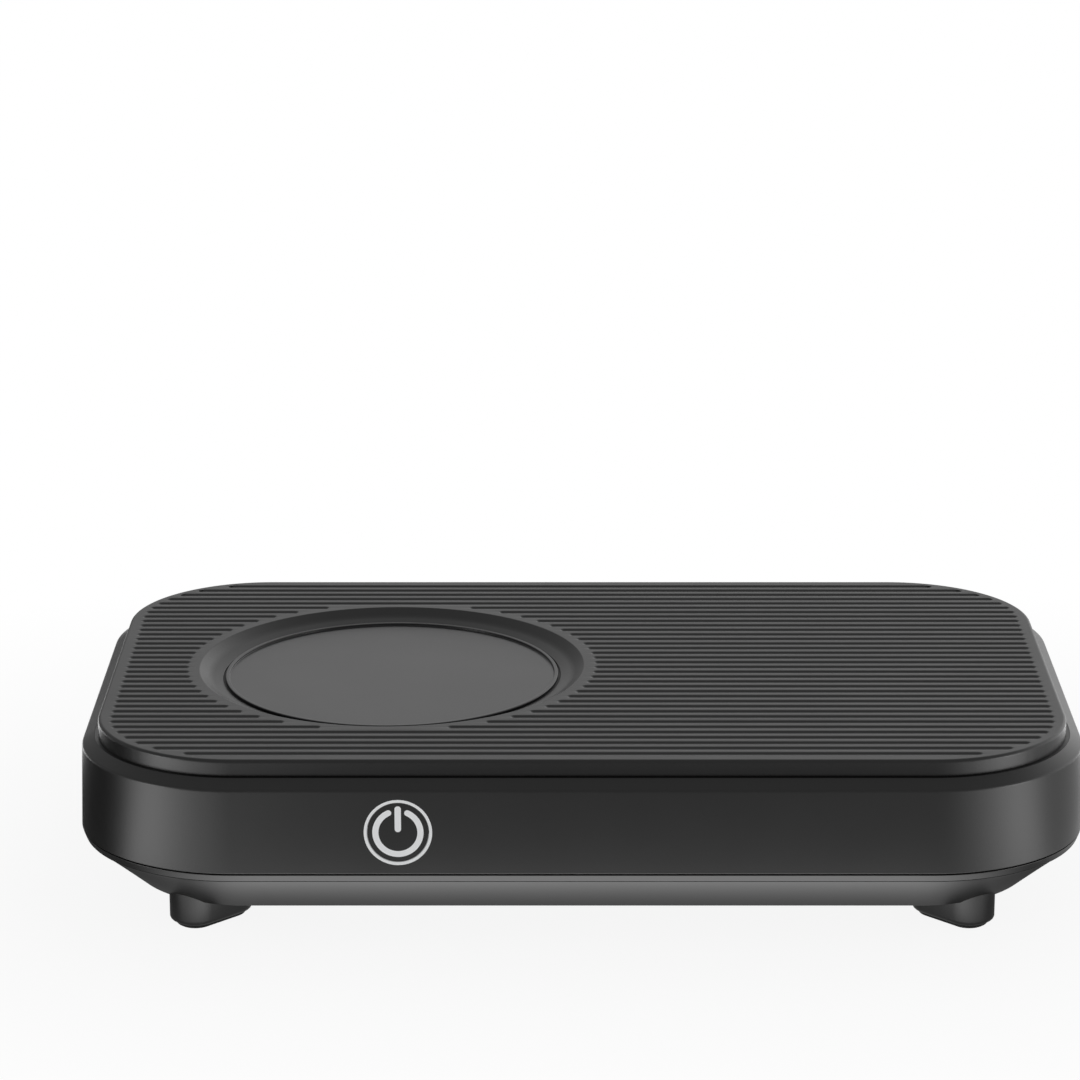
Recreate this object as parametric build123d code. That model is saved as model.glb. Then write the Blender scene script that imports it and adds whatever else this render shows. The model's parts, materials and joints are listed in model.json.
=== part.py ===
"""Two-in-one electric mug warmer: ribbed base with a heated mug recess and a wireless charging pad.

Millimetres. +Z is up, the power button faces -Y. The origin is on the ground under the middle of the base.
Insets are measured inwards from the widest outline of the base, which lies at the parting line.
"""
import os
from math import cos, radians, sin, sqrt

from build123d import *

os.makedirs("parts", exist_ok=True)

# ---- base outline ---------------------------------------------------------------------------------
base_width = 210.9
base_depth = 133.0
corner_radius = 33.0
base_height = 40.5

# ---- housing (side wall and shoulder) -------------------------------------------------------------
parting_z = 17.4
parting_gap = 0.3
wall = 2.5
wall_draft = 0.54
shoulder_drop = 5.3
shoulder_rise = 1.9
shoulder_width = 2.66
shoulder_fillet = 0.9
ledge_drop = 6.5
ledge_thickness = 2.2
locating_rib = 1.2
locating_rib_height = 1.4

# ---- top cover ------------------------------------------------------------------------------------
cover_gap = 0.8
cover_thickness = 2.5
skirt = 2.2
cover_fillet = 1.0
fit_clearance = 0.2
groove_count = 36
groove_pitch = 3.337
groove_width = 1.45
groove_depth = 0.5
groove_margin = 2.8
groove_corner_radius = 25.0
recess_x = -41.2
recess_y = 0.5
recess_radius = 41.8
recess_depth = 2.3
recess_land = 2.5
recess_lip = 0.8
recess_dish = 0.4
collar_thickness = 2.2
collar_radius = 44.0

# ---- bottom cover and feet ------------------------------------------------------------------------
foot_height = 6.2
pad_thickness = 1.0
pad_inset = 1.3
foot_length = 18.8
foot_width = 10.8
foot_corner = 5.1
foot_edge = 0.66
foot_x = 77.65
foot_y = 46.05
foot_angle = 45.0
floor_thickness = 2.2
floor_strip_width = 8.0
floor_overlap = 1.0
lip_inset = 0.1
lip_height = 1.6
lip_taper = 0.7
line_step = 0.1
bevel_inset = 11.0
bevel_bulge = 0.08
rim_width = 1.6
rim_height = 3.4
rim_notch_clearance = 0.5

# ---- housing screws -------------------------------------------------------------------------------
screw_shank = 2.9
screw_hole = 3.3
screw_pilot = 2.5
screw_head = 5.6
screw_head_height = 2.2
screw_head_hole = 6.4
screw_length = 14.0
screw_seat = 3.2
foot_boss = 9.0
foot_boss_rise = 4.8
pillar = 7.5

# ---- small screws ---------------------------------------------------------------------------------
small_shank = 2.4
small_hole = 2.8
small_pilot = 2.0
small_head = 4.6
small_head_height = 1.7
small_length = 6.5
boss = 6.4

# ---- heater ---------------------------------------------------------------------------------------
plate_radius = 36.2
plate_rim_width = 0.9
plate_rim_height = 0.5
plate_flange_radius = 40.0
plate_flange_thickness = 1.8
gasket_thickness = 0.6
gasket_collar = 0.4
heater_radius = 33.0
heater_thickness = 1.2
insulation_radius = 34.5
insulation_thickness = 1.5
window_radius = 10.0
bracket_radius = 38.5
bracket_thickness = 1.0
bracket_screw_radius = 47.0
bracket_ear_width = 9.0
bracket_vent_radius = 23.9
bracket_vent_width = 6.0
bracket_vent_start = 25.0
bracket_vent_sweep = 70.0
cutoff_length = 10.0
cutoff_width = 4.6
cutoff_height = 3.2
cutoff_offset = 5.7
sensor_diameter = 4.0
sensor_length = 6.0

# ---- charging coil --------------------------------------------------------------------------------
coil_end_distance = 52.45
coil_y = 0.0
coil_radius = 25.0
coil_bore = 10.5
coil_thickness = 1.4
coil_clearance = 0.3
ferrite_radius = 27.0
ferrite_thickness = 2.0
ferrite_bore = 8.0
tray_wall = 1.8
tray_clearance = 0.4
tray_screw_radius = 33.6
tray_ear_width = 7.6
tray_pilot_depth = 3.0
screw_tip_room = 0.5

# ---- control board --------------------------------------------------------------------------------
board_x = 35.0
board_y = 20.5
board_width = 66.0
board_depth = 67.0
board_thickness = 1.6
board_rise = 9.2
board_screw_inset = 4.0

# ---- parts on the control board, placed from its middle -------------------------------------------
main_chip = 9.0
main_chip_height = 1.2
main_chip_x = -12.0
main_chip_y = -2.0
driver_chip = 7.0
driver_chip_height = 1.1
driver_chip_x = 8.0
driver_chip_y = 6.0
regulator_width = 5.0
regulator_depth = 4.0
regulator_height = 1.5
regulator_y = 12.0
inductor_x = 22.0
inductor_y = 14.0
inductor_size = 12.0
inductor_height = 6.5
small_inductor_y = 12.0
small_inductor_size = 10.0
small_inductor_height = 5.0
inductor_edge = 1.0
capacitor_x = 14.0
capacitor_y = 26.5
capacitor_diameter = 8.0
capacitor_height = 10.5
small_capacitor_x = 24.0
small_capacitor_y = 24.0
small_capacitor_diameter = 6.3
small_capacitor_height = 8.0
capacitor_edge = 0.6
film_first_x = -6.0
film_pitch = 6.0
film_y = -28.5
film_width = 4.0
film_depth = 9.0
film_height = 8.0
transistor_first_x = 6.0
transistor_pitch = 8.0
transistor_y = -8.0
transistor_width = 5.0
transistor_depth = 6.0
transistor_height = 1.3
rectifier_x = -24.0
rectifier_y = 1.5
rectifier_width = 6.0
rectifier_depth = 5.0
rectifier_height = 1.6
package_edge = 0.3
socket_height = 5.0
socket_margin = 2.0
heater_socket_width = 6.0
coil_socket_half_width = 9.0
coil_socket_half_depth = 3.0
cable_socket_offset = 10.0
cable_socket_width = 8.0
cable_socket_depth = 5.5
cable_socket_height = 5.6
cable_socket_setback = 0.5

# ---- power inlet ----------------------------------------------------------------------------------
jack_width = 9.0
jack_length = 14.4
jack_height = 11.0
jack_nose = 8.0
jack_nose_drop = 0.5
jack_edge = 1.0
jack_bore = 6.3
jack_bore_depth = 10.0
jack_pin = 2.0
jack_pin_recess = 1.2
jack_hole = 8.6
jack_flush = 0.25
jack_spring_width = 1.6
jack_spring_thickness = 0.4
jack_spring_setback = 3.0
jack_spring_end = 1.0

# ---- power button ---------------------------------------------------------------------------------
button_x = -37.5
button_drop = 14.2
button_diameter = 12.4
button_clearance = 0.15
button_travel = 0.5
button_face = 1.8
button_wall = 1.2
button_flange = 14.8
button_flange_thickness = 1.0
ring_width = 0.6
guide_flange = 17.4
guide_flange_thickness = 1.1
button_pad = 21.0
button_pad_rise = 0.8
flange_clearance = 0.3
glyph_outer = 5.2
glyph_inner = 3.95
glyph_gap_half_angle = 25.0
glyph_bar_width = 1.3
glyph_bar_length = 5.5
glyph_bar_low = 0.1
lens_plate = 1.0
lens_post = 3.0
switch_size = 6.0
switch_height = 3.5
plunger_diameter = 3.5
plunger_clearance = 0.05
plunger_stroke_room = 0.2
plunger_length = 2.9
plunger_reach = 1.4
button_board_setback = 12.5
button_board_width = 44.0
button_board_height = 18.0
button_board_screw_spacing = 36.0
led_size = 3.0
led_height = 1.8
led_circle = 14.4
button_socket_inset = 12.0

# ---- internal leads -------------------------------------------------------------------------------
lead_diameter = 1.6
sensor_lead_diameter = 2.2
lead_bend = 4.0
sensor_lead_bend = 3.6
coil_lead_diameter = 1.2
coil_lead_bend = 2.4
coil_lead_inset = 5.0
lead_pitch = 2.6
cutoff_lead_pitch = 4.0
heater_lead_offset = 6.0
lead_run_rise = 2.4
cable_rise = 3.4
cable_width = 5.0
cable_thickness = 1.0
cable_bend = 7.0
cable_sway = 2.0
button_socket_half_width = 4.0
button_socket_half_height = 3.0
button_socket_depth = 4.5

# ---- derived heights and insets -------------------------------------------------------------------
shoulder_z = base_height - shoulder_drop
shoulder_inner_z = shoulder_z + shoulder_rise
ledge_z = base_height - ledge_drop
ledge_under_z = ledge_z - ledge_thickness
housing_edge_inset = wall_draft + shoulder_width
cover_inset = housing_edge_inset + cover_gap
cover_under_z = base_height - cover_thickness
rib_inset = cover_inset + skirt + fit_clearance * 2
lip_top_z = parting_z - parting_gap
line_z = lip_top_z - lip_height
floor_z = foot_height + floor_thickness
rim_inset = wall + fit_clearance
foot_boss_top_z = foot_height + foot_boss_rise
screw_seat_z = foot_boss_top_z - screw_seat

plate_top_z = base_height - recess_depth
collar_z = plate_top_z - collar_thickness
flange_top_z = collar_z - gasket_thickness
flange_under_z = flange_top_z - plate_flange_thickness
heater_under_z = flange_under_z - heater_thickness
insulation_under_z = heater_under_z - insulation_thickness
bracket_under_z = insulation_under_z - bracket_thickness

coil_x = base_width / 2 - coil_end_distance
coil_top_z = cover_under_z - coil_clearance
ferrite_top_z = coil_top_z - coil_thickness
tray_top_z = ferrite_top_z - ferrite_thickness
tray_under_z = tray_top_z - tray_wall
tray_inner_radius = ferrite_radius + tray_clearance
tray_radius = tray_inner_radius + tray_wall

board_under_z = floor_z + board_rise
board_top_z = board_under_z + board_thickness
lead_run_z = board_top_z + lead_run_rise
cable_z = board_top_z + cable_rise
jack_z = board_top_z + jack_height - jack_nose / 2 - jack_nose_drop
button_z = base_height - button_drop
button_board_y = -base_depth / 2 + button_board_setback
button_board_back_y = button_board_y + board_thickness
switch_front_y = button_board_y - switch_height
plunger_front_y = switch_front_y - plunger_reach
guide_back_y = -base_depth / 2 + wall + button_pad_rise + guide_flange_thickness
guide_seat_y = guide_back_y - guide_flange_thickness
button_flange_y = guide_back_y + button_clearance
lens_front_y = -base_depth / 2 + wall_draft * (button_z - parting_z) / (shoulder_z - parting_z) + button_face

foot_places = [(sx * foot_x, sy * foot_y, sx * sy * foot_angle) for sx in (-1, 1) for sy in (-1, 1)]
thirds = [90.0, 210.0, 330.0]
recess_screws = [
    (recess_x + bracket_screw_radius * cos(radians(a)), recess_y + bracket_screw_radius * sin(radians(a)), a)
    for a in thirds
]
tray_screws = [
    (coil_x + tray_screw_radius * cos(radians(a)), coil_y + tray_screw_radius * sin(radians(a)), a)
    for a in thirds
]
board_corners = [
    (board_x + sx * (board_width / 2 - board_screw_inset), board_y + sy * (board_depth / 2 - board_screw_inset))
    for sx in (-1, 1)
    for sy in (-1, 1)
]
button_screws = [button_x + s * button_board_screw_spacing / 2 for s in (-1, 1)]
led_places = [
    (button_x + led_circle / 2 * cos(radians(a)), button_z + led_circle / 2 * sin(radians(a)))
    for a in (45.0, 135.0, 225.0, 315.0)
]


# ---- helpers --------------------------------------------------------------------------------------
def outline(inset, z):
    """The base outline, moved inwards by inset, at height z."""
    shape = RectangleRounded(base_width - 2 * inset, base_depth - 2 * inset, corner_radius - inset)
    return Pos(0, 0, z) * shape


def slab(inset, z_low, z_high):
    return extrude(outline(inset, z_low), z_high - z_low)


def tapered(inset_low, z_low, inset_high, z_high):
    return loft([outline(inset_low, z_low).face(), outline(inset_high, z_high).face()], ruled=True)


def ring_around(profile):
    """Carry a closed (inset, z) section round the base outline."""
    path = outline(0, 0).face().outer_wire()
    start = path @ 0
    along = path % 0
    inwards = Vector(0, 0, 1).cross(along)
    if inwards.dot(Vector(0, 0, 0) - start) < 0:
        inwards = inwards * -1
    plane = Plane(origin=start, x_dir=inwards, z_dir=inwards.cross(Vector(0, 0, 1)))
    return sweep(plane * profile, path=path)


def post(x, y, z_low, z_high, diameter):
    return Pos(x, y, z_low) * extrude(Circle(diameter / 2), z_high - z_low)


def post_y(x, z, y_low, y_high, diameter):
    """A round bar along Y, from y_low to y_high."""
    return Pos(x, y_low, z) * Rot(-90, 0, 0) * extrude(Circle(diameter / 2), y_high - y_low)


def ring(x, y, z_low, z_high, outer_radius, inner_radius):
    return Pos(x, y, z_low) * extrude(Circle(outer_radius) - Circle(inner_radius), z_high - z_low)


def block(x_low, x_high, y_low, y_high, z_low, z_high):
    size = (x_high - x_low, y_high - y_low, z_high - z_low)
    return Pos(x_low, y_low, z_low) * Box(*size, align=(Align.MIN, Align.MIN, Align.MIN))


def screw(shank, length, head, head_height):
    """A pan-head screw, point up, with the underside of its head at z = 0."""
    body = extrude(Circle(shank / 2), length)
    body = chamfer(body.faces().sort_by(Axis.Z)[-1].edges(), shank / 4)
    cap = Pos(0, 0, -head_height) * extrude(Circle(head / 2), head_height)
    cap = fillet(cap.faces().sort_by(Axis.Z)[0].edges(), head_height * 0.45)
    slot = Box(head * 0.62, head * 0.14, head_height * 0.9) + Box(head * 0.14, head * 0.62, head_height * 0.9)
    return body + cap - Pos(0, 0, -head_height) * slot


def housing_screw():
    return screw(screw_shank, screw_length, screw_head, screw_head_height)


def small_screw():
    return screw(small_shank, small_length, small_head, small_head_height)


def lead(points, diameter, bend):
    """A round wire through the points, with a tangent arc of the given radius at each bend."""
    path = FilletPolyline(*points, radius=bend)
    start = Plane(origin=path @ 0, z_dir=path % 0)
    return sweep(start * Circle(diameter / 2), path=path)


def foot_shape(inset):
    return RectangleRounded(foot_length - 2 * inset, foot_width - 2 * inset, foot_corner - inset)


def chord(half_width, half_depth, radius, y):
    """Half the width of a rounded rectangle at the distance y from its middle."""
    beyond = abs(y) - (half_depth - radius)
    if beyond <= 0:
        return half_width
    return half_width - radius + sqrt(max(radius**2 - beyond**2, 0.0))


# ---- casings --------------------------------------------------------------------------------------
def recess_cutter():
    """The dished recess: a hollow wall from the deck down to the plate opening."""
    opening = plate_radius + gasket_collar
    above = base_height + 1
    with BuildSketch(Plane.XZ) as section:
        with BuildLine():
            Polyline(
                (opening, plate_top_z),
                (opening, collar_z - 1),
                (0, collar_z - 1),
                (0, above),
                (recess_radius + 2 * recess_lip, above),
                (recess_radius + 2 * recess_lip, base_height),
                (recess_radius, base_height),
            )
            SagittaArc((recess_radius, base_height), (opening, plate_top_z), recess_dish)
        make_face()
        lip = section.vertices().sort_by_distance((recess_radius, base_height))[0]
        fillet(lip, recess_lip)
    return Pos(recess_x, recess_y, 0) * revolve(section.sketch, Axis.Z)


def groove_cutters():
    half_width = base_width / 2 - cover_inset - groove_margin
    half_depth = base_depth / 2 - cover_inset - groove_margin
    stop = recess_radius + recess_land
    first = -groove_pitch * (groove_count - 1) / 2
    slots = []
    for index in range(groove_count):
        y = first + index * groove_pitch
        end = chord(half_width, half_depth, groove_corner_radius, y)
        spans = [(-end, end)]
        if abs(y - recess_y) < stop:
            half = sqrt(stop**2 - (y - recess_y) ** 2)
            spans = [(-end, recess_x - half), (recess_x + half, end)]
        for low, high in spans:
            if high - low > 2 * groove_width:
                shape = SlotOverall(high - low, groove_width)
                slots.append(Pos((low + high) / 2, y, base_height - groove_depth) * shape)
    return [extrude(slot, groove_depth + 1) for slot in slots]


def top_cover():
    cover = slab(cover_inset, ledge_z, base_height)
    cover = fillet(cover.faces().sort_by(Axis.Z)[-1].edges(), cover_fillet)
    cover -= slab(cover_inset + skirt, ledge_z, cover_under_z)
    cover += ring(recess_x, recess_y, collar_z, cover_under_z, collar_radius, plate_radius)
    for x, y, angle in recess_screws:
        cover += post(x, y, insulation_under_z, cover_under_z, boss)
    for x, y, angle in tray_screws:
        cover += post(x, y, tray_top_z, cover_under_z, boss)
    for x, y, angle in foot_places:
        cover += post(x, y, foot_boss_top_z, cover_under_z, pillar)
    cover -= recess_cutter()
    for x, y, angle in recess_screws:
        cover -= post(x, y, insulation_under_z, insulation_under_z + small_length, small_pilot)
    for x, y, angle in tray_screws:
        cover -= post(x, y, tray_top_z, tray_top_z + tray_pilot_depth, small_pilot)
    for x, y, angle in foot_places:
        cover -= post(x, y, foot_boss_top_z, screw_seat_z + screw_length + 2 * screw_tip_room, screw_pilot)
    cover -= groove_cutters()
    return cover


def housing_section():
    """The housing's section: drafted wall, shoulder, and the ledge that carries the top cover."""
    inner_top = wall_draft + wall
    with BuildSketch() as section:
        with BuildLine():
            Polyline(
                (0, parting_z),
                (wall_draft, shoulder_z),
                (housing_edge_inset, shoulder_inner_z),
                (housing_edge_inset, ledge_z),
                (rib_inset, ledge_z),
                (rib_inset, ledge_z + locating_rib_height),
                (rib_inset + locating_rib, ledge_z + locating_rib_height),
                (rib_inset + locating_rib, ledge_under_z),
                (inner_top, ledge_under_z),
                (wall, lip_top_z),
                (wall / 2, lip_top_z),
                (wall / 2, parting_z),
                (0, parting_z),
            )
        make_face()
        edge = section.vertices().sort_by_distance((wall_draft, shoulder_z))[0]
        fillet(edge, shoulder_fillet)
    return section.sketch


def housing():
    body = ring_around(housing_section())
    inner_y = -base_depth / 2 + wall
    half = button_pad / 2
    pad = block(button_x - half, button_x + half, inner_y - wall / 2, guide_seat_y, parting_z, ledge_under_z)
    for x in button_screws:
        pad += post_y(x, button_z, inner_y - wall / 2, button_board_y, boss)
    body += pad
    body -= post_y(button_x, button_z, -base_depth, 0, button_diameter + 2 * (button_clearance + ring_width))
    for x in button_screws:
        body -= post_y(x, button_z, button_board_y - small_length + board_thickness, button_board_y, small_pilot)
    body -= post_y(board_x, jack_z, 0, base_depth, jack_hole)
    return body


def bottom_section():
    """The bottom cover's rim: lip, fine line, long bevel, and the strip of floor inside it."""
    floor_strip = bevel_inset + floor_strip_width
    slope = (line_z - foot_height) / (bevel_inset - lip_taper)
    inner_low = bevel_inset + floor_thickness * (sqrt(1 + slope**2) - 1) / slope
    inner_high_z = floor_z + (inner_low - rim_inset - rim_width) * slope
    with BuildSketch() as section:
        with BuildLine():
            Polyline((lip_inset, lip_top_z), (lip_taper, line_z), (lip_taper + line_step, line_z))
            SagittaArc((lip_taper + line_step, line_z), (bevel_inset, foot_height), -bevel_bulge)
            Polyline(
                (bevel_inset, foot_height),
                (floor_strip, foot_height),
                (floor_strip, floor_z),
                (inner_low, floor_z),
                (rim_inset + rim_width, inner_high_z),
                (rim_inset + rim_width, lip_top_z + rim_height),
                (rim_inset, lip_top_z + rim_height),
                (rim_inset, lip_top_z),
                (lip_inset, lip_top_z),
            )
        make_face()
    return section.sketch


def bottom_cover():
    body = ring_around(bottom_section()) + slab(bevel_inset + floor_strip_width - floor_overlap, foot_height, floor_z)
    for x, y, angle in foot_places:
        foot = extrude(foot_shape(0), floor_z - pad_thickness)
        foot = fillet(foot.faces().sort_by(Axis.Z)[0].edges(), foot_edge)
        body += Pos(x, y, pad_thickness) * Rot(0, 0, angle) * foot
        body += post(x, y, floor_z, foot_boss_top_z, foot_boss)
    for x, y in board_corners:
        body += post(x, y, floor_z, board_under_z, boss)
    for x, y, angle in foot_places:
        body -= post(x, y, 0, screw_seat_z, screw_head_hole)
        body -= post(x, y, 0, foot_boss_top_z, screw_hole)
    for x, y in board_corners:
        body -= post(x, y, board_top_z - small_length - screw_tip_room, board_under_z, small_pilot)
    notch = button_pad / 2 + rim_notch_clearance
    low_y = -base_depth / 2 + rim_inset - 2 * fit_clearance
    high_y = low_y + rim_width + 4 * fit_clearance
    return body - block(button_x - notch, button_x + notch, low_y, high_y, lip_top_z, base_height)


def foot_pads():
    pad = extrude(foot_shape(pad_inset), pad_thickness)
    return [Pos(x, y, 0) * Rot(0, 0, angle) * pad for x, y, angle in foot_places]


def housing_screws():
    return [Pos(x, y, screw_seat_z) * housing_screw() for x, y, angle in foot_places]


# ---- heater ---------------------------------------------------------------------------------------
def heating_plate():
    rim_inner = plate_radius - plate_rim_width
    plate = post(recess_x, recess_y, flange_top_z, plate_top_z, 2 * plate_radius)
    plate += post(recess_x, recess_y, flange_under_z, flange_top_z, 2 * plate_flange_radius)
    plate += ring(recess_x, recess_y, plate_top_z, plate_top_z + plate_rim_height, plate_radius, rim_inner)
    rim_edges = plate.faces().sort_by(Axis.Z)[-1].edges()
    return fillet(rim_edges, min(plate_rim_height, plate_rim_width) * 0.4)


def plate_gasket():
    flat = ring(recess_x, recess_y, flange_top_z, collar_z, plate_flange_radius, plate_radius)
    collar = ring(recess_x, recess_y, collar_z, plate_top_z - fit_clearance, plate_radius + gasket_collar, plate_radius)
    return flat + collar


def heater_element():
    return post(recess_x, recess_y, heater_under_z, flange_under_z, 2 * heater_radius)


def insulation_pad():
    return ring(recess_x, recess_y, insulation_under_z, heater_under_z, insulation_radius, window_radius)


def heater_bracket():
    plate = Circle(bracket_radius)
    for angle in thirds:
        ear = Pos(bracket_screw_radius / 2, 0) * Rectangle(bracket_screw_radius, bracket_ear_width)
        ear += Pos(bracket_screw_radius, 0) * Circle(bracket_ear_width / 2)
        plate += Rot(0, 0, angle) * ear
    for angle in thirds:
        plate -= Rot(0, 0, angle) * Pos(bracket_screw_radius, 0) * Circle(small_hole / 2)
    for angle in thirds:
        vent = SlotArc(CenterArc((0, 0), bracket_vent_radius, angle + bracket_vent_start, bracket_vent_sweep), bracket_vent_width)
        plate -= vent
    plate -= Circle(window_radius)
    return Pos(recess_x, recess_y, bracket_under_z) * extrude(plate, bracket_thickness)


def heater_screws():
    return [Pos(x, y, bracket_under_z) * small_screw() for x, y, angle in recess_screws]


def thermal_cutoff():
    x = recess_x - cutoff_offset
    body = block(
        x - cutoff_width / 2,
        x + cutoff_width / 2,
        recess_y - cutoff_length / 2,
        recess_y + cutoff_length / 2,
        heater_under_z - cutoff_height,
        heater_under_z,
    )
    return fillet(body.edges().filter_by(Axis.Y), cutoff_height * 0.3)


def temperature_sensor():
    low = heater_under_z - sensor_length
    body = post(recess_x, recess_y, low, heater_under_z, sensor_diameter)
    return fillet(body.faces().sort_by(Axis.Z)[0].edges(), sensor_diameter * 0.2)


# ---- charging coil --------------------------------------------------------------------------------
def charging_coil():
    return ring(coil_x, coil_y, ferrite_top_z, coil_top_z, coil_radius, coil_bore)


def ferrite_disc():
    return ring(coil_x, coil_y, tray_top_z, ferrite_top_z, ferrite_radius, ferrite_bore)


def coil_tray():
    base = Circle(tray_radius)
    for angle in thirds:
        ear = Pos(tray_screw_radius / 2, 0) * Rectangle(tray_screw_radius, tray_ear_width)
        ear += Pos(tray_screw_radius, 0) * Circle(tray_ear_width / 2)
        base += Rot(0, 0, angle) * ear
    for angle in thirds:
        base -= Rot(0, 0, angle) * Pos(tray_screw_radius, 0) * Circle(small_hole / 2)
    base -= Circle(ferrite_bore)
    tray = Pos(coil_x, coil_y, tray_under_z) * extrude(base, tray_wall)
    rim = ring(coil_x, coil_y, tray_top_z, cover_under_z, tray_radius, tray_inner_radius)
    for x, y, angle in tray_screws:
        rim -= post(x, y, tray_top_z, cover_under_z, boss + 2 * fit_clearance)
    return tray + rim


def coil_tray_screws():
    reach = tray_pilot_depth + tray_wall - screw_tip_room
    driver = screw(small_shank, reach, small_head, small_head_height)
    return [Pos(x, y, tray_under_z) * driver for x, y, angle in tray_screws]


# ---- control board --------------------------------------------------------------------------------
def board_block(x, y, width, depth, height, edge=package_edge):
    """A part on the control board, with its middle at x, y from the board's middle."""
    cx = board_x + x
    cy = board_y + y
    body = block(cx - width / 2, cx + width / 2, cy - depth / 2, cy + depth / 2, board_top_z, board_top_z + height)
    return chamfer(body.faces().sort_by(Axis.Z)[-1].edges(), edge)


def board_can(x, y, diameter, height):
    body = post(board_x + x, board_y + y, board_top_z, board_top_z + height, diameter)
    return fillet(body.faces().sort_by(Axis.Z)[-1].edges(), capacitor_edge)


def control_board():
    body = Pos(board_x, board_y, board_under_z) * extrude(
        RectangleRounded(board_width, board_depth, board_screw_inset / 2), board_thickness
    )
    for x, y in board_corners:
        body -= post(x, y, board_under_z, board_top_z, small_hole)
    return body


def control_chips():
    return [
        board_block(main_chip_x, main_chip_y, main_chip, main_chip, main_chip_height),
        board_block(driver_chip_x, driver_chip_y, driver_chip, driver_chip, driver_chip_height),
        board_block(main_chip_x, regulator_y, regulator_width, regulator_depth, regulator_height),
    ]


def power_inductors():
    small = small_inductor_size
    return [
        board_block(-inductor_x, inductor_y, inductor_size, inductor_size, inductor_height, inductor_edge),
        board_block(inductor_x, small_inductor_y, small, small, small_inductor_height, inductor_edge),
    ]


def filter_capacitors():
    return [
        board_can(-capacitor_x, capacitor_y, capacitor_diameter, capacitor_height),
        board_can(capacitor_x, capacitor_y, capacitor_diameter, capacitor_height),
        board_can(small_capacitor_x, small_capacitor_y, small_capacitor_diameter, small_capacitor_height),
    ]


def resonant_capacitors():
    places = [film_first_x + index * film_pitch for index in range(4)]
    return [board_block(x, film_y, film_width, film_depth, film_height) for x in places]


def power_transistors():
    places = [transistor_first_x + index * transistor_pitch for index in range(3)]
    size = (transistor_width, transistor_depth, transistor_height)
    rectifier = board_block(rectifier_x, rectifier_y, rectifier_width, rectifier_depth, rectifier_height)
    return [board_block(x, transistor_y, *size) for x in places] + [rectifier]


def board_screws():
    driver = Rot(180, 0, 0) * small_screw()
    return [Pos(x, y, board_top_z) * driver for x, y in board_corners]


def socket_top_z():
    return board_top_z + socket_height


def heater_socket_x():
    return board_x - board_width / 2 + socket_margin


def cable_socket_x():
    return heater_socket_x() + cable_socket_offset


def cable_socket_y():
    return board_y - board_depth / 2 + cable_socket_setback


def lead_sockets():
    left = heater_socket_x()
    y_low = recess_y - lead_pitch - lead_diameter / 2
    y_high = recess_y + cutoff_lead_pitch + lead_diameter / 2
    heater = block(left, left + heater_socket_width, y_low, y_high, board_top_z, socket_top_z())
    coil = block(
        coil_x - coil_socket_half_width,
        coil_x + coil_socket_half_width,
        coil_y - coil_socket_half_depth,
        coil_y + coil_socket_half_depth,
        board_top_z,
        socket_top_z(),
    )
    x = cable_socket_x()
    y = cable_socket_y()
    top = board_top_z + cable_socket_height
    return [heater, coil, block(x, x + cable_socket_width, y, y + cable_socket_depth, board_top_z, top)]


# ---- power inlet ----------------------------------------------------------------------------------
def jack_front_y():
    return base_depth / 2 - wall_draft * (jack_z - parting_z) / (shoulder_z - parting_z) - jack_flush


def jack_shoulder_y():
    return base_depth / 2 - rim_inset - rim_width - 2 * fit_clearance


def jack_spring_block():
    y_low = jack_front_y() - jack_bore_depth + jack_spring_end
    y_high = jack_front_y() - jack_spring_setback
    top = jack_z - jack_bore / 2
    half = jack_spring_width / 2
    return block(board_x - half, board_x + half, y_low, y_high, top - jack_spring_thickness, top)


def dc_jack_body():
    back = jack_shoulder_y() - jack_length
    half = jack_width / 2
    body = block(board_x - half, board_x + half, back, jack_shoulder_y(), board_top_z, board_top_z + jack_height)
    body = chamfer(body.edges().filter_by(Axis.Y).group_by(Axis.Z)[-1], jack_edge)
    body += post_y(board_x, jack_z, jack_shoulder_y(), jack_front_y(), jack_nose)
    body -= post_y(board_x, jack_z, jack_front_y() - jack_bore_depth, jack_front_y(), jack_bore)
    return body - jack_spring_block()


def dc_jack_pin():
    low = jack_front_y() - jack_bore_depth
    body = post_y(board_x, jack_z, low, jack_front_y() - jack_pin_recess, jack_pin)
    return fillet(body.faces().sort_by(Axis.Y)[-1].edges(), jack_pin * 0.15)


def dc_jack_spring():
    return jack_spring_block()


# ---- power button ---------------------------------------------------------------------------------
def base_skin():
    """The solid outline of the housing's drafted wall, which the button and its ring are flush with."""
    return tapered(0, parting_z, wall_draft, shoulder_z)


def flange(y_low, y_high, diameter):
    """A round flange with flats above and below, which clear the ledge and stop the piece turning."""
    half = ledge_under_z - flange_clearance - button_z
    band = block(button_x - diameter, button_x + diameter, y_low, y_high, button_z - half, button_z + half)
    return post_y(button_x, button_z, y_low, y_high, diameter) & band


def power_button_cap():
    radius = button_diameter / 2
    body = post_y(button_x, button_z, -base_depth, button_flange_y, button_diameter) & base_skin()
    body += flange(button_flange_y, button_flange_y + button_flange_thickness, button_flange)
    hollow = 2 * (radius - button_wall)
    body -= post_y(button_x, button_z, lens_front_y, button_flange_y + button_flange_thickness, hollow)
    return body - glyph_prism(0.0)


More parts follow.
